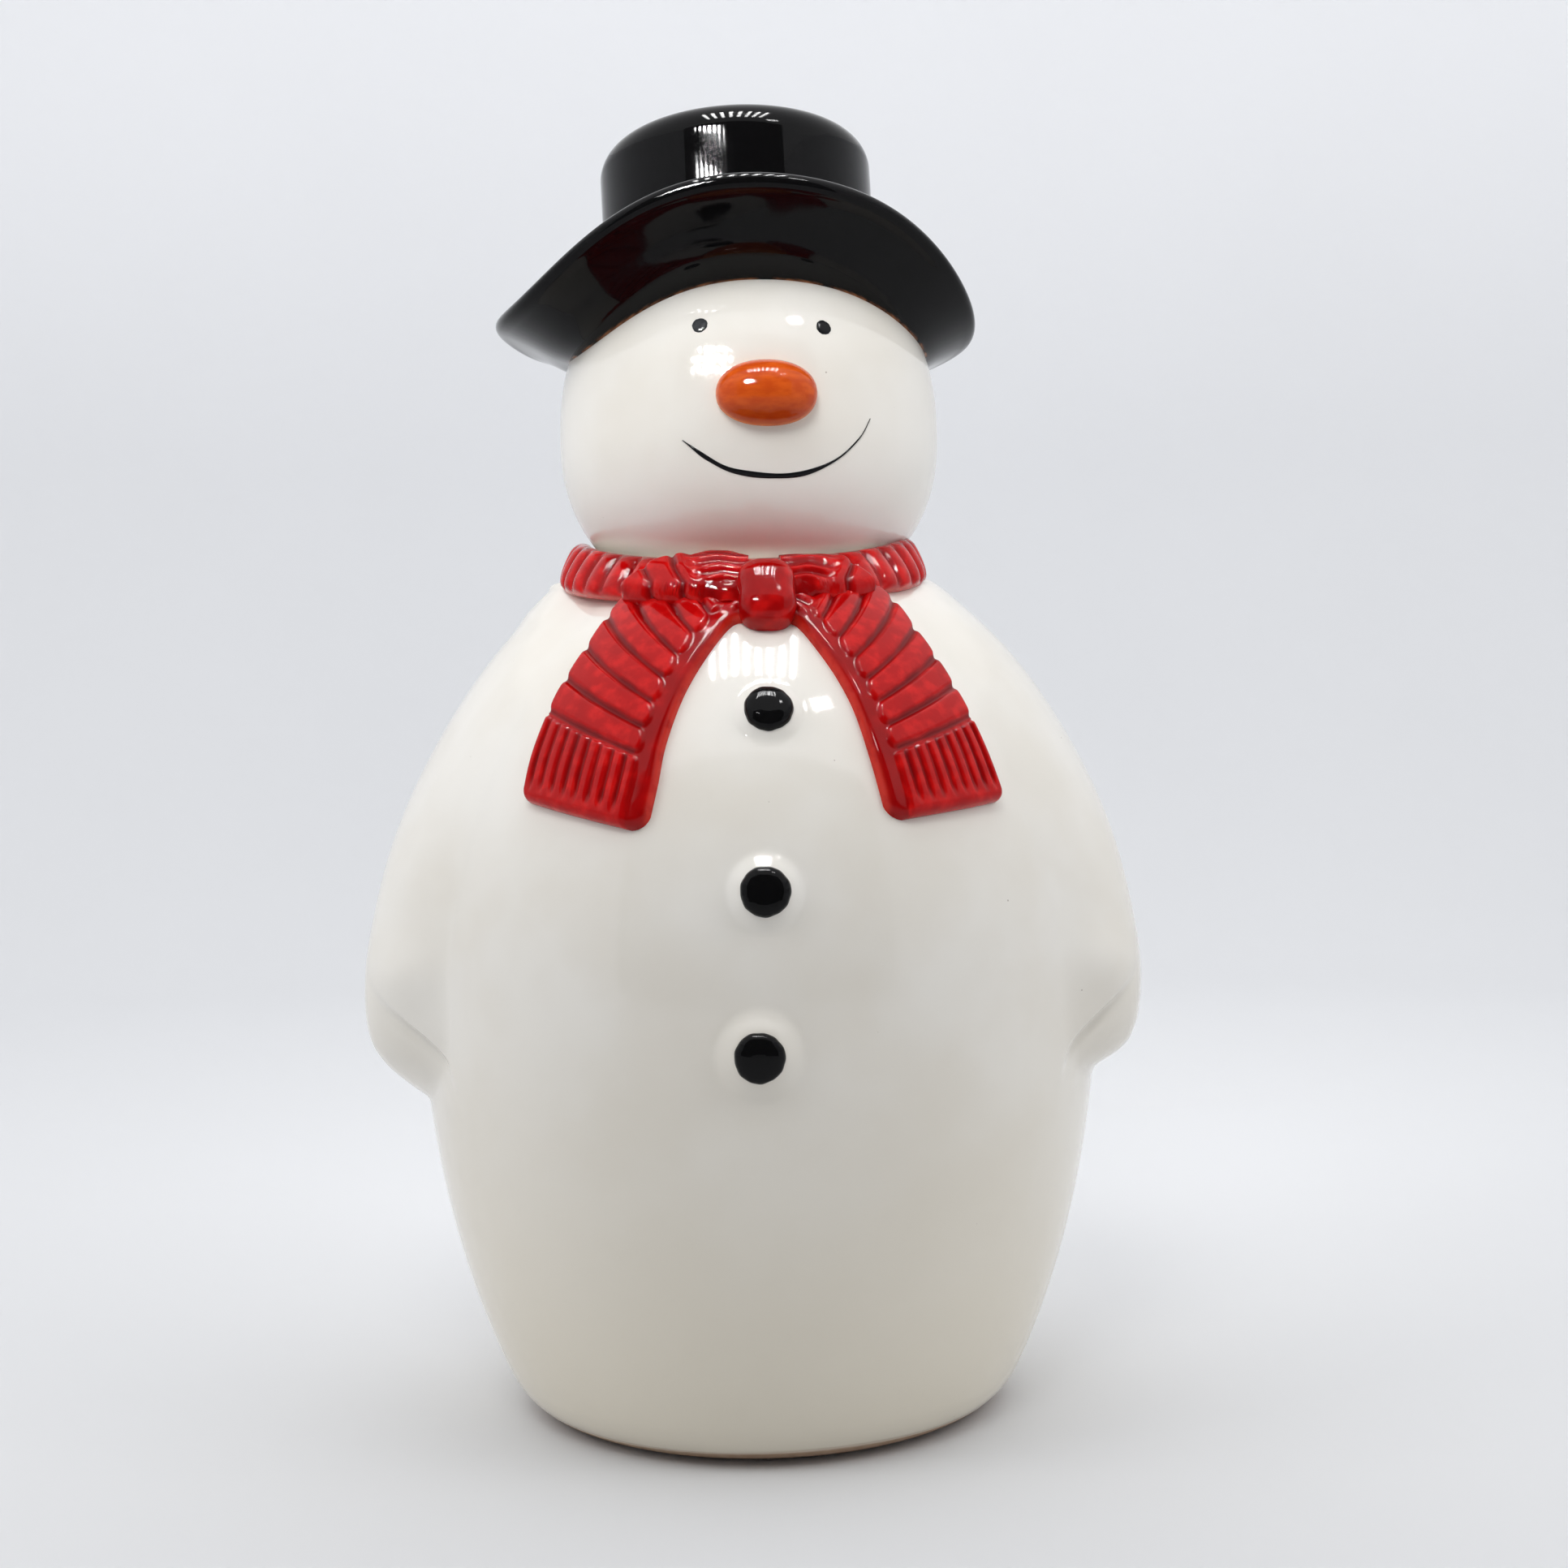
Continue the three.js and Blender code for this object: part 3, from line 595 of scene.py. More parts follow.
def build_collar(material):
    degrees = np.linspace(-180, 180, 504, endpoint=False)
    front = collar_front(degrees)[None, :, None]
    count = 64
    side, dipped = (spline(section, count, closed=True) for section in (COLLAR_SIDE, COLLAR_FRONT))
    section = side[:, None] * (1 - front) + dipped[:, None] * front
    points = ring_point(section[..., 0], degrees[None], section[..., 1])
    normals = grid_normals(points, True)
    facing = np.sign((normals[..., :2] * points[..., :2]).sum(-1).mean(1)[count // 3])
    normals = normals * facing
    off_groove = (degrees[None] / RIB_TURN + 0.5) % 1 - 0.5
    middle = section.mean(0, keepdims=True)
    low, high = section[..., 1].min(0), section[..., 1].max(0)
    level = (section[..., 1] - low) / (high - low)
    outer = section[..., 0] > middle[..., 0] - 1
    ribbed = smooth((level - 0.12) / 0.12) * smooth((1.02 - level) / 0.16) * outer
    groove = dip(off_groove * RIB_TURN, RIB_GROOVE_TURN) * ribbed
    swell = np.cos(2 * np.pi * off_groove) * -RIB_SWELL * ribbed
    points = points + normals * (swell - RIB_DEPTH * groove)[..., None]
    pool = np.clip(groove * 0.9 + smooth((level - 0.8) / 0.2) * 0.35 * outer, 0, 1)
    edge = smooth((0.16 - level) / 0.1) * outer
    ridge = np.take_along_axis(section[..., 0], section[..., 1].argmax(0)[None], 0)
    unpainted = smooth((ridge - 0.8 - section[..., 0]) / 1.2) * smooth((section[..., 1] - low - 1) / 2)
    points[..., 0] += COLLAR_SHIFT
    values = {"pool": pool, "edge": edge, "unpainted": unpainted}
    add_piece("collar_skin", ring_mesh(points), material, "scarf_collar", values)


def corner_distance(from_side, from_end, corner):
    """Distance in from an outline with a rounded corner, up to the corner's radius."""
    side, end = np.minimum(from_side, corner), np.minimum(from_end, corner)
    return corner - np.hypot(corner - side, corner - end)


def border_height(from_inner, from_outer, from_end):
    """The rounded edge and flat top of a plain tail."""
    inner_side = corner_distance(from_inner, from_end, INNER_CORNER)
    outer_side = corner_distance(from_outer, from_end, OUTER_CORNER)
    from_edge = np.minimum(inner_side, outer_side)
    share = np.clip(from_edge / TAIL_SIDE, 0, 1)
    height = TAIL_HEIGHT * np.sqrt(1 - (1 - share) ** 2)
    return np.where(from_edge <= 0, -TAIL_SINK * smooth(-from_edge / 0.4), height)


def block_shape(phase, from_inner, from_outer):
    """Height and grooves of the blocks, and how much of each place is within a block's ends."""
    off_groove = np.abs(phase - np.round(phase)) * BLOCK_STEP * TAIL_LENGTH
    in_blocks = smooth((phase + 0.12) / 0.12) * smooth((BLOCKS - 0.2 - phase) / 0.5)
    bulge = np.abs(np.sin(np.pi * phase)) ** 0.7
    ends = smooth((from_inner - BORDER_WIDTH + BLOCK_BULGE * bulge) / 1.1) * smooth(from_outer / 1.6)
    crown = BLOCK_HEIGHT * (0.72 + 0.28 * bulge)
    groove = dip(off_groove, GROOVE_WIDTH) * in_blocks * (phase > -0.5)
    return in_blocks * ends * crown * (1 - groove), groove, ends


def fringe_shape(phase, from_inner, from_outer, from_end):
    """Height and grooves of the fringe, and where it is."""
    width = from_inner + from_outer - BORDER_WIDTH + 1
    share = np.clip((from_inner - BORDER_WIDTH + 1) / width, 0, 1)
    strand = share * (FRINGE_GROOVES + 1)
    off_groove = np.abs(strand - np.round(strand))
    zone = smooth((-phase - 0.1) / 0.12)
    zone = zone * smooth((from_inner - BORDER_WIDTH + 1.2) / 1.2) * smooth(from_outer / 1.6)
    groove = dip(off_groove, 0.17) * zone * smooth((from_end - 1.5) / 4)
    return zone * BLOCK_HEIGHT * FRINGE_HEIGHT - groove * FRINGE_DEPTH, groove, zone


def gather_shape(phase, across, along, from_inner, from_outer):
    """Height and valleys of the folds beside the knot, and where they are."""
    zone = smooth((phase - BLOCKS + 0.7) / 0.8)
    fold_phase = across * (GATHERS + 1) + 0.1 * np.sin(along * 40)
    valley = 1 - (0.5 + 0.5 * np.cos(2 * np.pi * fold_phase))
    height = zone * (GATHER_HEIGHT - GATHER_HEIGHT * valley)
    return height * smooth(from_outer / 4) * smooth(from_inner / 2), valley, zone


def tail_shape(across, along, from_inner, from_outer, from_end):
    """Height over the ground, pooled glaze and thin edge of a tail, from distances in mm and shares."""
    phase = (FRINGE_START - along) / BLOCK_STEP
    blocks, groove, block_ends = block_shape(phase, from_inner, from_outer)
    fringe, fringe_groove, fringe_zone = fringe_shape(phase, from_inner, from_outer, from_end)
    gathers, valley, gather_zone = gather_shape(phase, across, along, from_inner, from_outer)
    height = border_height(from_inner, from_outer, from_end) + blocks + fringe + gathers
    pool = np.maximum(groove * block_ends, fringe_groove * 0.9)
    pool = np.maximum(pool, gather_zone * valley * 0.7)
    border = (1 - block_ends) * (1 - gather_zone) * (1 - fringe_zone)
    pool = np.clip(np.maximum(pool, BORDER_POOL * border), 0, 1)
    edge = smooth((1.3 - from_inner) / 1.1)
    return height, pool, edge


def build_tail(side, material):
    rows, columns, steps = 260, 96, 400
    across = (1 - np.cos(np.linspace(0, np.pi, columns))) / 2
    across = across * 0.75 + np.linspace(0, 1, columns) * 0.25  # closer together at both edges
    along = np.linspace(0, 1, rows)
    along = along + 0.03 * np.sin(np.pi * along) * along  # a little closer together at the end
    inner_edge, outer_edge = (spline(TAILS[side][key], steps) for key in ("inner", "outer"))
    pick = np.linspace(0, 1, steps)
    inner_along = np.interp(along, *zip(*INNER_SHARES))
    inner = np.stack([np.interp(inner_along, pick, inner_edge[:, k]) for k in (0, 1)], -1)[:, None]
    outer = np.stack([np.interp(along, pick, outer_edge[:, k]) for k in (0, 1)], -1)[:, None]
    spot = inner + (outer - inner) * across[None, :, None]
    ground = tail_ground(spot[..., 0], spot[..., 1])
    normals = grid_normals(ground, False)
    if (normals[..., :2] * ground[..., :2]).sum() < 0:
        normals = -normals
    step_across = np.linalg.norm(np.diff(ground, axis=1), axis=-1)
    from_inner = np.concatenate([np.zeros((rows, 1)), np.cumsum(step_across, 1)], 1)
    from_outer = from_inner[:, -1:] - from_inner
    step_along = np.linalg.norm(np.diff(ground, axis=0), axis=-1)
    from_start = np.concatenate([np.zeros((1, columns)), np.cumsum(step_along, 0)], 0)
    from_end = from_start[-1:] - from_start
    height, pool, edge = tail_shape(across[None], along[:, None], from_inner, from_outer, from_end)
    top = ground + normals * height[..., None]
    bottom = ground - normals * TAIL_DEPTH
    values = {"pool": np.concatenate([pool, pool]), "edge": np.concatenate([edge, edge])}
    name, node = f"tail_{side}_skin", "scarf_tail_" + side
    add_piece(name, sheet_mesh(top, bottom), material, node, values)


def superellipsoid(half_sizes, power, rows, columns):
    """A rounded block. Power 2 is an ellipsoid, and higher powers are squarer."""
    tilt = np.linspace(-np.pi / 2, np.pi / 2, rows + 2)[1:-1, None]
    turn = np.linspace(0, 2 * np.pi, columns, endpoint=False)[None]

    def curl(value):
        return np.sign(value) * np.abs(value) ** (2 / power)

    x = curl(np.cos(tilt)) * curl(np.cos(turn))
    y = curl(np.cos(tilt)) * curl(np.sin(turn))
    z = curl(np.sin(tilt)) * np.ones_like(turn)
    return np.stack([x, y, z], -1) * np.array(half_sizes)


KNOT_Z = 186.4
KNOT_HALF = (6.7, 5.6, 8.3)
KNOT_RADIUS = 51.6  # from the axis to its centre
KNOT_LEAN = -30
KNOT_WAIST = 0.08  # share of its width
KNOT_POOL = 0.3


def build_knot(material):
    points = superellipsoid(KNOT_HALF, 2.7, rows=48, columns=96)
    degrees = front_turn(KNOT_Z)
    lean = Matrix.Rotation(math.radians(KNOT_LEAN), 3, "X")
    turn = Matrix.Rotation(math.radians(degrees), 3, "Z") @ lean
    shaped = points.copy()
    shaped[..., 0] *= 1 - KNOT_WAIST * dip(points[..., 2], 3)
    placed = shaped @ np.array(turn).T + ring_point(KNOT_RADIUS, degrees, KNOT_Z)
    side = np.abs(shaped[..., 0]) / KNOT_HALF[0]
    pool = np.append(KNOT_POOL + 0.25 * smooth((side - 0.75) / 0.25), [KNOT_POOL, KNOT_POOL])
    values = {"pool": pool, "edge": np.zeros(len(pool))}
    add_piece("knot_skin", round_mesh(placed), material, "scarf_knot", values)


# ---------- face and buttons ----------

NOSE_SINK = 1  # how far the nose's centre lies inside the head
EYE_WASH_AND_SHEEN = {"left": 0.8, "right": 0.1}  # how grey the black is painted, from 0 to 1: thin brushing, and on the left eye mostly a painted reflection
EYE_RADIUS = 1.75
EYE_HEIGHT = 0.32
EYE_LIFT = 0.02
MOUTH_LIFT = 0.03
MOUTH_HEIGHT = 0.2
MOUTH_DEPTH = 0.6  # of its underside, inside the head
BUTTON_OVERLAP = 0.25  # how far a cap reaches past its mound's flat top, and down into it


def build_nose(material):
    half_width, depth, half_height = NOSE_SIZE
    points = superellipsoid((half_width, depth, half_height), 2.15, rows=64, columns=128)
    degrees = front_turn(NOSE_Z)
    turn = Matrix.Rotation(math.radians(degrees), 3, "Z")
    centre = ring_point(head_radius(NOSE_Z) - NOSE_SINK, degrees, NOSE_Z)
    placed = points @ np.array(turn).T + centre
    shape = round_mesh(placed)
    vertices = shape[0]
    _, radius = angle_and_radius(vertices)
    above = radius - head_radius(vertices[:, 2])
    # The nose's lower part is painted darker: painted shade on its underside.
    low = smooth((centre[2] - 1 - vertices[:, 2]) / half_height)
    values = {"edge": dip(above, 1.3), "low": low}
    add_piece("nose_skin", shape, material, "nose", values)


def painted_dot(node, centre, normal, radius, height, material, ragged, thin):
    """A domed dot of glaze on a surface, with a slightly uneven brushed edge."""
    turns = np.linspace(0, 2 * np.pi, 72, endpoint=False)[None]
    shares = np.linspace(0.04, 1, 18)[:, None]
    rim = 1 + ragged * (np.sin(3 * turns + 1) + 0.7 * np.sin(7 * turns) + 0.5 * np.sin(13 * turns + 2))
    top = np.sqrt(np.maximum(0, 1 - shares**2.6))
    local = np.stack([
        shares * radius * rim * np.cos(turns),
        shares * radius * rim * np.sin(turns),
        top * height + np.zeros_like(turns),
    ], -1)
    under = local[-1:] * np.array([1, 1, 0]) - np.array([0, 0, 1.0])
    local = np.concatenate([local, under], 0)
    turn = np.array(Vector((0, 0, 1)).rotation_difference(Vector(normal)).to_matrix())
    shape = round_mesh(local @ turn.T + centre)
    # thin greys the dot: thin brushing, and on the left eye a painted reflection.
    values = {"thin": np.full(len(shape[0]), thin)}
    add_piece(node + "_skin", shape, material, node, values)


def build_eyes(material):
    for side, thin in EYE_WASH_AND_SHEEN.items():
        node = "eye_" + side
        low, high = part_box(node)
        middle = np.array((low + high) / 2) / MM
        degrees, _ = angle_and_radius(middle)
        centre, normal = on_surface(head_radius, degrees, middle[2], EYE_LIFT)
        painted_dot(node, centre, normal, EYE_RADIUS, EYE_HEIGHT, material, 0.02, thin)


def build_mouth(material):
    count = 160
    along = np.linspace(0, 1, count)[:, None]
    across = np.linspace(-0.5, 0.5, 9)[None]
    line = spline(MOUTH_LINE, count)[:, None]
    taper = 0.25 + 0.75 * smooth(along / 0.12) * smooth((1 - along) / 0.5) + 0.1 * np.sin(along * 23)
    width = MOUTH_WIDTH * taper
    z = line[..., 1] + across * width
    degrees = line[..., 0] + np.zeros_like(z)
    dome = MOUTH_HEIGHT * np.sqrt(np.maximum(0, 1 - (2 * across) ** 2))
    top, _ = on_surface(head_radius, degrees, z, MOUTH_LIFT + dome * np.ones_like(z))
    bottom, _ = on_surface(head_radius, degrees, z, np.full_like(z, -MOUTH_DEPTH))
    shape = sheet_mesh(top, bottom)
    values = {"thin": np.zeros(len(shape[0]))}
    add_piece("mouth_skin", shape, material, "mouth", values)


def build_buttons(material):
    radius = BUTTON_RADIUS + BUTTON_OVERLAP
    cap = BUTTON_CAP + JOINT_GAP
    for name, button in BUTTONS.items():
        z = np.array(button["z"])
        seat = button["height"] - BUTTON_OVERLAP
        centre, normal = on_surface(body_radius, front_turn(button["z"]), z, seat)
        painted_dot("button_" + name, centre, normal, radius, cap, material, 0.012, 0)


# ---------- stopper ----------

STOPPER_RADIUS = {"flange": 18.5, "plug": 14.7, "tip": 13.6}
STOPPER_TOP_Z = 15

# Its underside, with a raised ring in the middle and one at the rim, as (radius, height).
STOPPER_FACE = [
    (0.6, 1.0), (4.4, 1.0), (5.2, 0.6), (6.0, 0), (7.2, 0), (8.0, 0.7),
    (11.5, 0.8), (15.6, 0.7), (16.4, 0), (17.8, 0),
]


def build_stopper(material):
    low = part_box("base_stopper")[0].z / MM
    flange, plug, tip = STOPPER_RADIUS.values()
    side = [
        (flange, 0.6), (flange, 1.5), (flange - 0.6, 2.0), (plug + 0.5, 2.0), (plug, 2.5),
        (plug - 0.3, 5), (plug + 0.1, 6.6), (plug, 9),
    ]
    rows = [(radius, low + height) for radius, height in STOPPER_FACE + side]
    rows += [(tip, STOPPER_TOP_Z - 0.8), (tip - 1.2, STOPPER_TOP_Z)]
    rows += [(6, STOPPER_TOP_Z), (0.6, STOPPER_TOP_Z)]
    rows = spline(rows, 110)
    degrees = np.linspace(-180, 180, 96, endpoint=False)
    shape = round_mesh(ring_point(rows[:, :1], degrees[None], rows[:, 1:]))
    add_piece("stopper_skin", shape, material, "base_stopper", body="stopper")


# ---------- materials ----------

LOW_SHADE_TOP = 120  # below this the white is painted warmer and a little darker: painted shade towards the bottom
GLAZE_IOR = 1.5
BLACK_SPECULAR = 0.14
RED_SPECULAR = 0.2

# Colours as linear red, green and blue.
WHITE, BRIGHT_WHITE, LOW_SHADE_CREAM = (0.80, 0.76, 0.685), (0.86, 0.832, 0.775), (0.80, 0.74, 0.62)
BROWN_SPECK, DULL_PINHOLE = (0.20, 0.13, 0.09), (0.42, 0.37, 0.31)
DARK_CLAY, LIGHT_CLAY = (0.33, 0.20, 0.12), (0.52, 0.38, 0.27)
BLACK, SOFT_BLACK, BROWN_FRINGE = (0.002, 0.002, 0.0023), (0.004, 0.0038, 0.004), (0.36, 0.14, 0.06)
RED, BRIGHT_RED, THIN_RED = (0.43, 0.0015, 0.002), (0.60, 0.007, 0.006), (0.58, 0.028, 0.016)
POOLED_RED, DEEP_RED = (0.31, 0.001, 0.0015), (0.19, 0.001, 0.002)
ORANGE, BRIGHT_ORANGE = (0.55, 0.066, 0.007), (0.66, 0.100, 0.011)
SHADED_ORANGE, THIN_ORANGE = (0.30, 0.034, 0.006), (0.80, 0.25, 0.055)
ENAMEL, WASH_AND_SHEEN_ENAMEL = (0.006, 0.006, 0.007), (0.055, 0.058, 0.062)
DARK_RUBBER, LIGHT_RUBBER = (0.24, 0.235, 0.22), (0.31, 0.30, 0.28)


class Nodes:
    """A node tree, and short ways to add nodes to it."""

    def __init__(self, tree):
        self.nodes = tree.nodes
        self.links = tree.links

    def put(self, value, socket):
        """Gives a socket a value, or a link if the value is another socket."""
        if isinstance(value, bpy.types.NodeSocket):
            self.links.new(value, socket)
        else:
            socket.default_value = value

    def node(self, kind, output, inputs, **settings):
        node = self.nodes.new(kind)
        for key, value in settings.items():
            setattr(node, key, value)
        for key, value in inputs.items():
            self.put(value, node.inputs[key])
        return node.outputs[output]

    def math(self, operation, a, b):
        return self.node("ShaderNodeMath", 0, {0: a, 1: b}, operation=operation)


class Shader(Nodes):
    """A material with a Principled shader. Sizes are in millimetres."""

    def __init__(self, name):
        self.material = bpy.data.materials.new(name)
        self.material.use_nodes = True
        super().__init__(self.material.node_tree)
        self.shader = self.nodes["Principled BSDF"]
        self.place = self.nodes.new("ShaderNodeTexCoord").outputs["Object"]

    def set(self, name, value):
        self.put(value, self.shader.inputs[name])

    def noise(self, size, detail=2.0, stretch=(1, 1, 1)):
        """Noise with features of about the given size."""
        scaled = self.node("ShaderNodeMapping", 0, {"Vector": self.place, "Scale": stretch})
        inputs = {"Vector": scaled, "Scale": 1 / (size * MM), "Detail": detail}
        return self.node("ShaderNodeTexNoise", "Fac", inputs)

    def span(self, value, low, high, to_low=0.0, to_high=1.0):
        inputs = {"Value": value, "From Min": low, "From Max": high, "To Min": to_low, "To Max": to_high}
        return self.node("ShaderNodeMapRange", 0, inputs, interpolation_type="SMOOTHSTEP")

    def patchy(self, size, detail, low=0.0, high=1.0):
        """A value that wanders from low to high in patches of about the given size."""
        return self.span(self.noise(size, detail), 0.3, 0.7, low, high)

    def mix(self, factor, a, b):
        """A mix of two colours. Each is a triple or a socket."""
        a, b = ((*colour, 1) if isinstance(colour, tuple) else colour for colour in (a, b))
        return self.node("ShaderNodeMix", 2, {0: factor, 6: a, 7: b}, data_type="RGBA")

    def attribute(self, name):
        return self.node("ShaderNodeAttribute", "Fac", {}, attribute_name=name)

    def height(self):
        return self.node("ShaderNodeSeparateXYZ", "Z", {"Vector": self.place})

    def specks(self, spacing, radius, share):
        """Scattered dots: one in a share of the cells of the given spacing."""
        inputs = {"Vector": self.place, "Scale": 1 / (spacing * MM)}
        colour = self.node("ShaderNodeTexVoronoi", "Color", inputs)
        picked = self.node("ShaderNodeSeparateColor", 0, {0: colour})
        chosen = self.math("GREATER_THAN", picked, 1 - share)
        distance = colour.node.outputs["Distance"]
        dot = self.span(distance, radius / spacing, radius / spacing * 0.5)
        return self.math("MULTIPLY", chosen, dot)

    def bump(self, layers):
        """Height layers as (value, depth), one on the other."""
        normal = None
        for value, depth in layers:
            inputs = {"Height": value, "Distance": depth * MM, "Strength": 1.0}
            if normal is not None:
                inputs["Normal"] = normal
            normal = self.node("ShaderNodeBump", 0, inputs)
        self.set("Normal", normal)

    def glaze(self, waves, pinholes=None, pinhole_depth=0, specular=0.5):
        """The glaze's gloss and its surface, with waves as (size, depth)."""
        layers = [(self.noise(size), depth) for size, depth in waves]
        if pinholes is not None:
            layers.append((self.math("MULTIPLY", pinholes, -1.0), pinhole_depth))
        self.bump(layers)
        self.set("IOR", GLAZE_IOR)
        self.set("Specular IOR Level", specular)


def white_glaze():
    shader = Shader("white_glaze")
    colour = shader.mix(shader.patchy(38, 3), WHITE, BRIGHT_WHITE)
    # The lower body is painted warmer and a little darker towards the foot: painted shade.
    colour = shader.mix(shader.span(shader.height(), LOW_SHADE_TOP * MM, 0), colour, LOW_SHADE_CREAM)
    brown_specks = shader.specks(9, 0.28, 0.10)
    colour = shader.mix(shader.math("MULTIPLY", brown_specks, 0.55), colour, BROWN_SPECK)
    pinholes = shader.specks(4.2, 0.16, 0.12)
    colour = shader.mix(shader.math("MULTIPLY", pinholes, 0.35), colour, DULL_PINHOLE)
    bare = shader.attribute("bare")
    clay = shader.mix(shader.noise(2.5, 4), DARK_CLAY, LIGHT_CLAY)
    shader.set("Base Color", shader.mix(bare, colour, clay))
    shader.set("Roughness", shader.span(bare, 0, 1, 0.06, 0.8))
    shader.glaze([(26, 0.10), (1.7, 0.003)], pinholes, 0.05)
    return shader.material


def black_glaze():
    shader = Shader("black_glaze")
    colour = shader.mix(shader.noise(14, 3), BLACK, SOFT_BLACK)
    broken = shader.span(shader.noise(5, 3), 0.38, 0.62)
    fringe = shader.math("MULTIPLY", shader.attribute("fringe"), broken)
    shader.set("Base Color", shader.mix(fringe, colour, BROWN_FRINGE))
    shader.set("Roughness", shader.patchy(6, 3, 0.035, 0.07))
    shader.glaze([(20, 0.08), (1.6, 0.003)], shader.specks(5, 0.2, 0.15), 0.06, BLACK_SPECULAR)
    return shader.material


def red_glaze():
    shader = Shader("red_glaze")
    brush = shader.noise(3.2, 3)
    high = shader.mix(shader.span(brush, 0.4, 0.72), RED, BRIGHT_RED)
    depth = shader.math("ADD", shader.attribute("pool"), shader.patchy(6.5, 2, -0.22, 0.22))
    pooled = shader.mix(shader.span(depth, 0.05, 0.5), high, POOLED_RED)
    deep = shader.mix(shader.span(depth, 0.45, 1.0), pooled, DEEP_RED)
    edge = shader.math("MULTIPLY", shader.attribute("edge"), shader.span(brush, 0.3, 0.55, 0.55, 1.0))
    painted = shader.mix(edge, deep, THIN_RED)
    shader.set("Base Color", shader.mix(shader.attribute("unpainted"), painted, WHITE))
    shader.set("Roughness", shader.patchy(5, 3, 0.05, 0.10))
    shader.glaze([(7, 0.05), (1.4, 0.004)], shader.specks(3.6, 0.15, 0.15), 0.06, RED_SPECULAR)
    return shader.material


def orange_glaze():
    shader = Shader("orange_glaze")
    brush = shader.noise(2.6, 3, stretch=(0.6, 1, 1.8))
    colour = shader.mix(shader.span(brush, 0.35, 0.7), ORANGE, BRIGHT_ORANGE)
    # The darker orange on the nose's lower part is painted shade.
    low = shader.math("MULTIPLY", shader.attribute("low"), 0.55)
    colour = shader.mix(low, colour, SHADED_ORANGE)
    edge = shader.math("MULTIPLY", shader.attribute("edge"), shader.span(brush, 0.3, 0.6, 0.4, 1.0))
    shader.set("Base Color", shader.mix(edge, colour, THIN_ORANGE))
    shader.set("Roughness", shader.patchy(5, 3, 0.05, 0.09))
    shader.glaze([(9, 0.05)], shader.specks(3.0, 0.16, 0.2), 0.08, RED_SPECULAR)
    return shader.material


def black_enamel():
    shader = Shader("black_enamel")
    # Grey where the enamel is thin, and on the left eye a painted reflection.
    wash_and_sheen = shader.math("MULTIPLY", shader.attribute("thin"), shader.patchy(1.1, 3, 0.6, 1.0))
    shader.set("Base Color", shader.mix(wash_and_sheen, ENAMEL, WASH_AND_SHEEN_ENAMEL))
    shader.set("Roughness", shader.patchy(1.5, 2, 0.08, 0.16))
    shader.glaze([(1.2, 0.015)], specular=BLACK_SPECULAR)
    return shader.material


def stopper_rubber():
    shader = Shader("stopper_rubber")
    grain = shader.noise(0.8, 4)
    shader.set("Base Color", shader.mix(grain, DARK_RUBBER, LIGHT_RUBBER))
    shader.set("Roughness", shader.span(grain, 0.3, 0.7, 0.5, 0.68))
    shader.bump([(grain, 0.02), (shader.noise(5), 0.05)])
    return shader.material


# ---------- camera, stage and light ----------

CAMERA_AT = (6.9, -459, 145.7)  # mm
CAMERA_ROLL = 1.08  # degrees
HALF_VIEW = 22.5
STAGE = {"floor_radius": 0.95, "cove": 0.45, "wall_top": 1.0}  # m
STAGE_FLOOR_COLOUR = (0.775, 0.78, 0.79)
STAGE_TOP_PAINTED_LIGHT = (0.93, 0.935, 0.95)
WORLD_COLOUR = (0.97, 0.98, 1, 1)
WORLD_STRENGTH = 1.16
MATT = 0.9  # roughness
CARD = {"y": -0.6, "half_width": 0.55, "bottom": 0.02, "top": 0.75, "grey": 0.1}  # m
DOT_EDGE = 0.31  # from the middle of a gap between lamps, as a share of their spacing

# Places, aims and sizes in m, power in watts, spread in degrees. Lamps with dots show only in the
# gloss, and the others only as soft light.
LAMPS = {
    "front_soft": {
        "at": (-0.06, -0.42, 0.55), "aim": (0, 0, 0.26), "size": (0.2, 0.2), "power": 0.12, "spread": 45,
    },
    "left_soft": {"at": (-0.6, -0.3, 0.6), "size": (0.3, 0.3), "power": 0.85},
    "right_soft": {"at": (0.6, -0.3, 0.6), "size": (0.3, 0.3), "power": 0.7},
    "top_strip": {
        "at": (0, -0.115, 0.52), "size": (0.18, 0.11), "power": 4.5, "spread": 120, "dots": (8, 12),
    },
    "front_strip": {
        "at": (-0.108, -0.3, 0.402), "aim": (-0.01, -0.04, 0.275), "size": (0.19, 0.12),
        "power": 2.6, "spread": 25, "dots": (9, 4),
    },
    "right_strip": {
        "at": (0.157, -0.22, 0.52), "size": (0.05, 0.03), "power": 0.6, "spread": 120, "dots": (5, 3),
    },
}


def add_camera():
    data = bpy.data.cameras.new("camera")
    data.lens = data.sensor_width / 2 / math.tan(math.radians(HALF_VIEW))
    data.clip_start = 0.01
    camera = bpy.data.objects.new("camera", data)
    camera.location = [value * MM for value in CAMERA_AT]
    camera.rotation_euler = (math.radians(90), math.radians(CAMERA_ROLL), 0)
    bpy.context.collection.objects.link(camera)
    bpy.context.scene.camera = camera


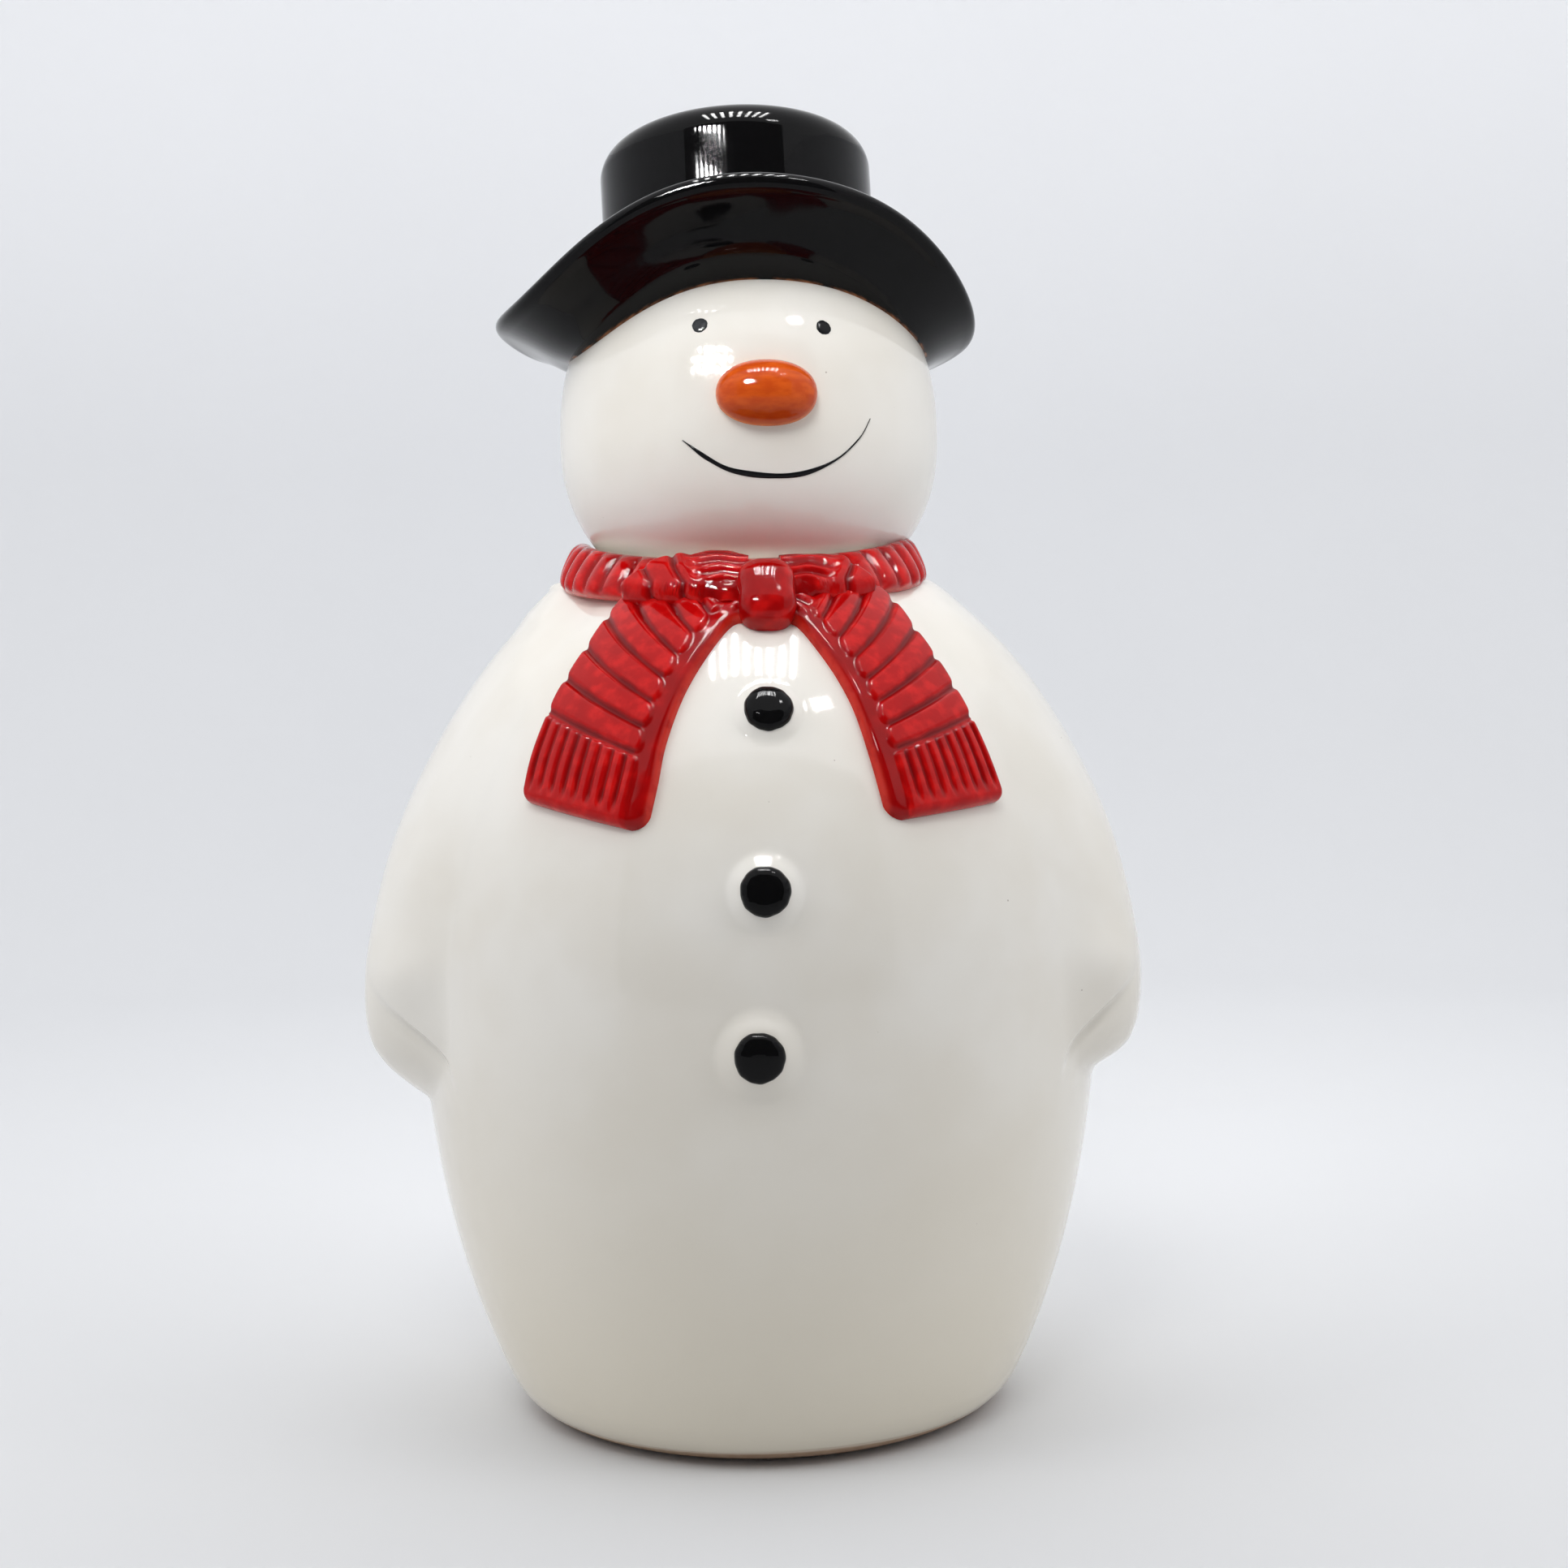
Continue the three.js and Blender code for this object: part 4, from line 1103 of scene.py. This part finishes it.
def add_stage():
    """A pale floor that curves up into a wall all round, open at the top."""
    floor_radius, cove, wall_top = STAGE["floor_radius"], STAGE["cove"], STAGE["wall_top"]
    turn = np.radians(np.linspace(-90, 0, 24))
    rows = [(r, 0) for r in np.linspace(0.02, floor_radius, 8)]
    rows += [(floor_radius + cove * math.cos(a), cove + cove * math.sin(a)) for a in turn[1:]]
    rows += [(floor_radius + cove, z) for z in np.linspace(cove, wall_top, 6)[1:]]
    rows = np.array(rows)
    points = ring_point(rows[:, :1], np.linspace(-180, 180, 128, endpoint=False)[None], rows[:, 1:])
    vertices, (sides, ends) = round_mesh(points)
    floor_middle = ends[: points.shape[1]]
    shader = Shader("stage_paper")
    mottle = shader.patchy(300, 2, -0.03, 0.03)
    # The wall is painted paler towards its top: painted light.
    rise = shader.math("ADD", shader.span(shader.height(), 0, wall_top), mottle)
    shader.set("Base Color", shader.mix(rise, STAGE_FLOOR_COLOUR, STAGE_TOP_PAINTED_LIGHT))
    shader.set("Roughness", MATT)
    shader.set("Specular IOR Level", 0.2)
    faces = sides.tolist() + floor_middle.tolist()
    add_mesh("stage", vertices[:-1], faces, shader.material)


def add_dark_card():
    """An upright dark card that the camera doesn't see: painted shade for the dark open front of a light
    box.
    """
    half = CARD["half_width"]
    levels = (CARD["bottom"], CARD["top"])
    corners = np.array([(x, CARD["y"], z) for z in levels for x in (-half, half)])
    shader = Shader("card_painted_shade")
    shader.set("Base Color", (*[CARD["grey"]] * 3, 1))
    shader.set("Roughness", MATT)
    card = add_mesh("dark_card", corners, [(0, 1, 3, 2)], shader.material)
    card.visible_camera = False
    card.visible_shadow = False


def split_into_dots(data, dots):
    """Turns an area light into rows of small lamps, as in a light box's strip."""
    data.use_nodes = True
    tree = Nodes(data.node_tree)
    place = tree.node("ShaderNodeNewGeometry", "Parametric", {})
    lit = 1.0
    for axis, count in zip("XY", dots):
        share = tree.node("ShaderNodeSeparateXYZ", axis, {"Vector": place})
        from_gap = tree.math("PINGPONG", share, 0.5 / count)
        lit = tree.math("MULTIPLY", lit, tree.math("GREATER_THAN", from_gap, DOT_EDGE / count))
    tree.put(lit, tree.nodes["Emission"].inputs["Strength"])


def add_lamp(name, at, size, power, aim=(0, 0, 0.2), spread=180, dots=None):
    data = bpy.data.lights.new(name, "AREA")
    data.shape = "RECTANGLE"
    data.size, data.size_y = size
    data.energy = power
    data.spread = math.radians(spread)
    light = bpy.data.objects.new(name, data)
    light.location = at
    light.rotation_euler = (Vector(aim) - Vector(at)).to_track_quat("-Z", "Y").to_euler()
    bpy.context.collection.objects.link(light)
    if dots:
        light.visible_diffuse = False
        split_into_dots(data, dots)
    else:
        light.visible_glossy = False


def add_lights():
    world = bpy.data.worlds.new("world")
    world.use_nodes = True
    background = world.node_tree.nodes["Background"]
    background.inputs["Color"].default_value = WORLD_COLOUR
    background.inputs["Strength"].default_value = WORLD_STRENGTH
    bpy.context.scene.world = world
    for name, lamp in LAMPS.items():
        add_lamp(name, **lamp)
    bpy.context.scene.view_settings.view_transform = "Standard"


# ---------- assembly ----------

add_camera()

white = white_glaze()
black = black_glaze()
red = red_glaze()
enamel = black_enamel()

build_body(white)
build_head(white)
build_crown(black)
build_brim(black)
build_collar(red)
for tail_side in TAILS:
    build_tail(tail_side, red)
build_knot(red)
build_nose(orange_glaze())
build_eyes(enamel)
build_mouth(enamel)
build_buttons(black)
build_stopper(stopper_rubber())

add_stage()
add_dark_card()
add_lights()
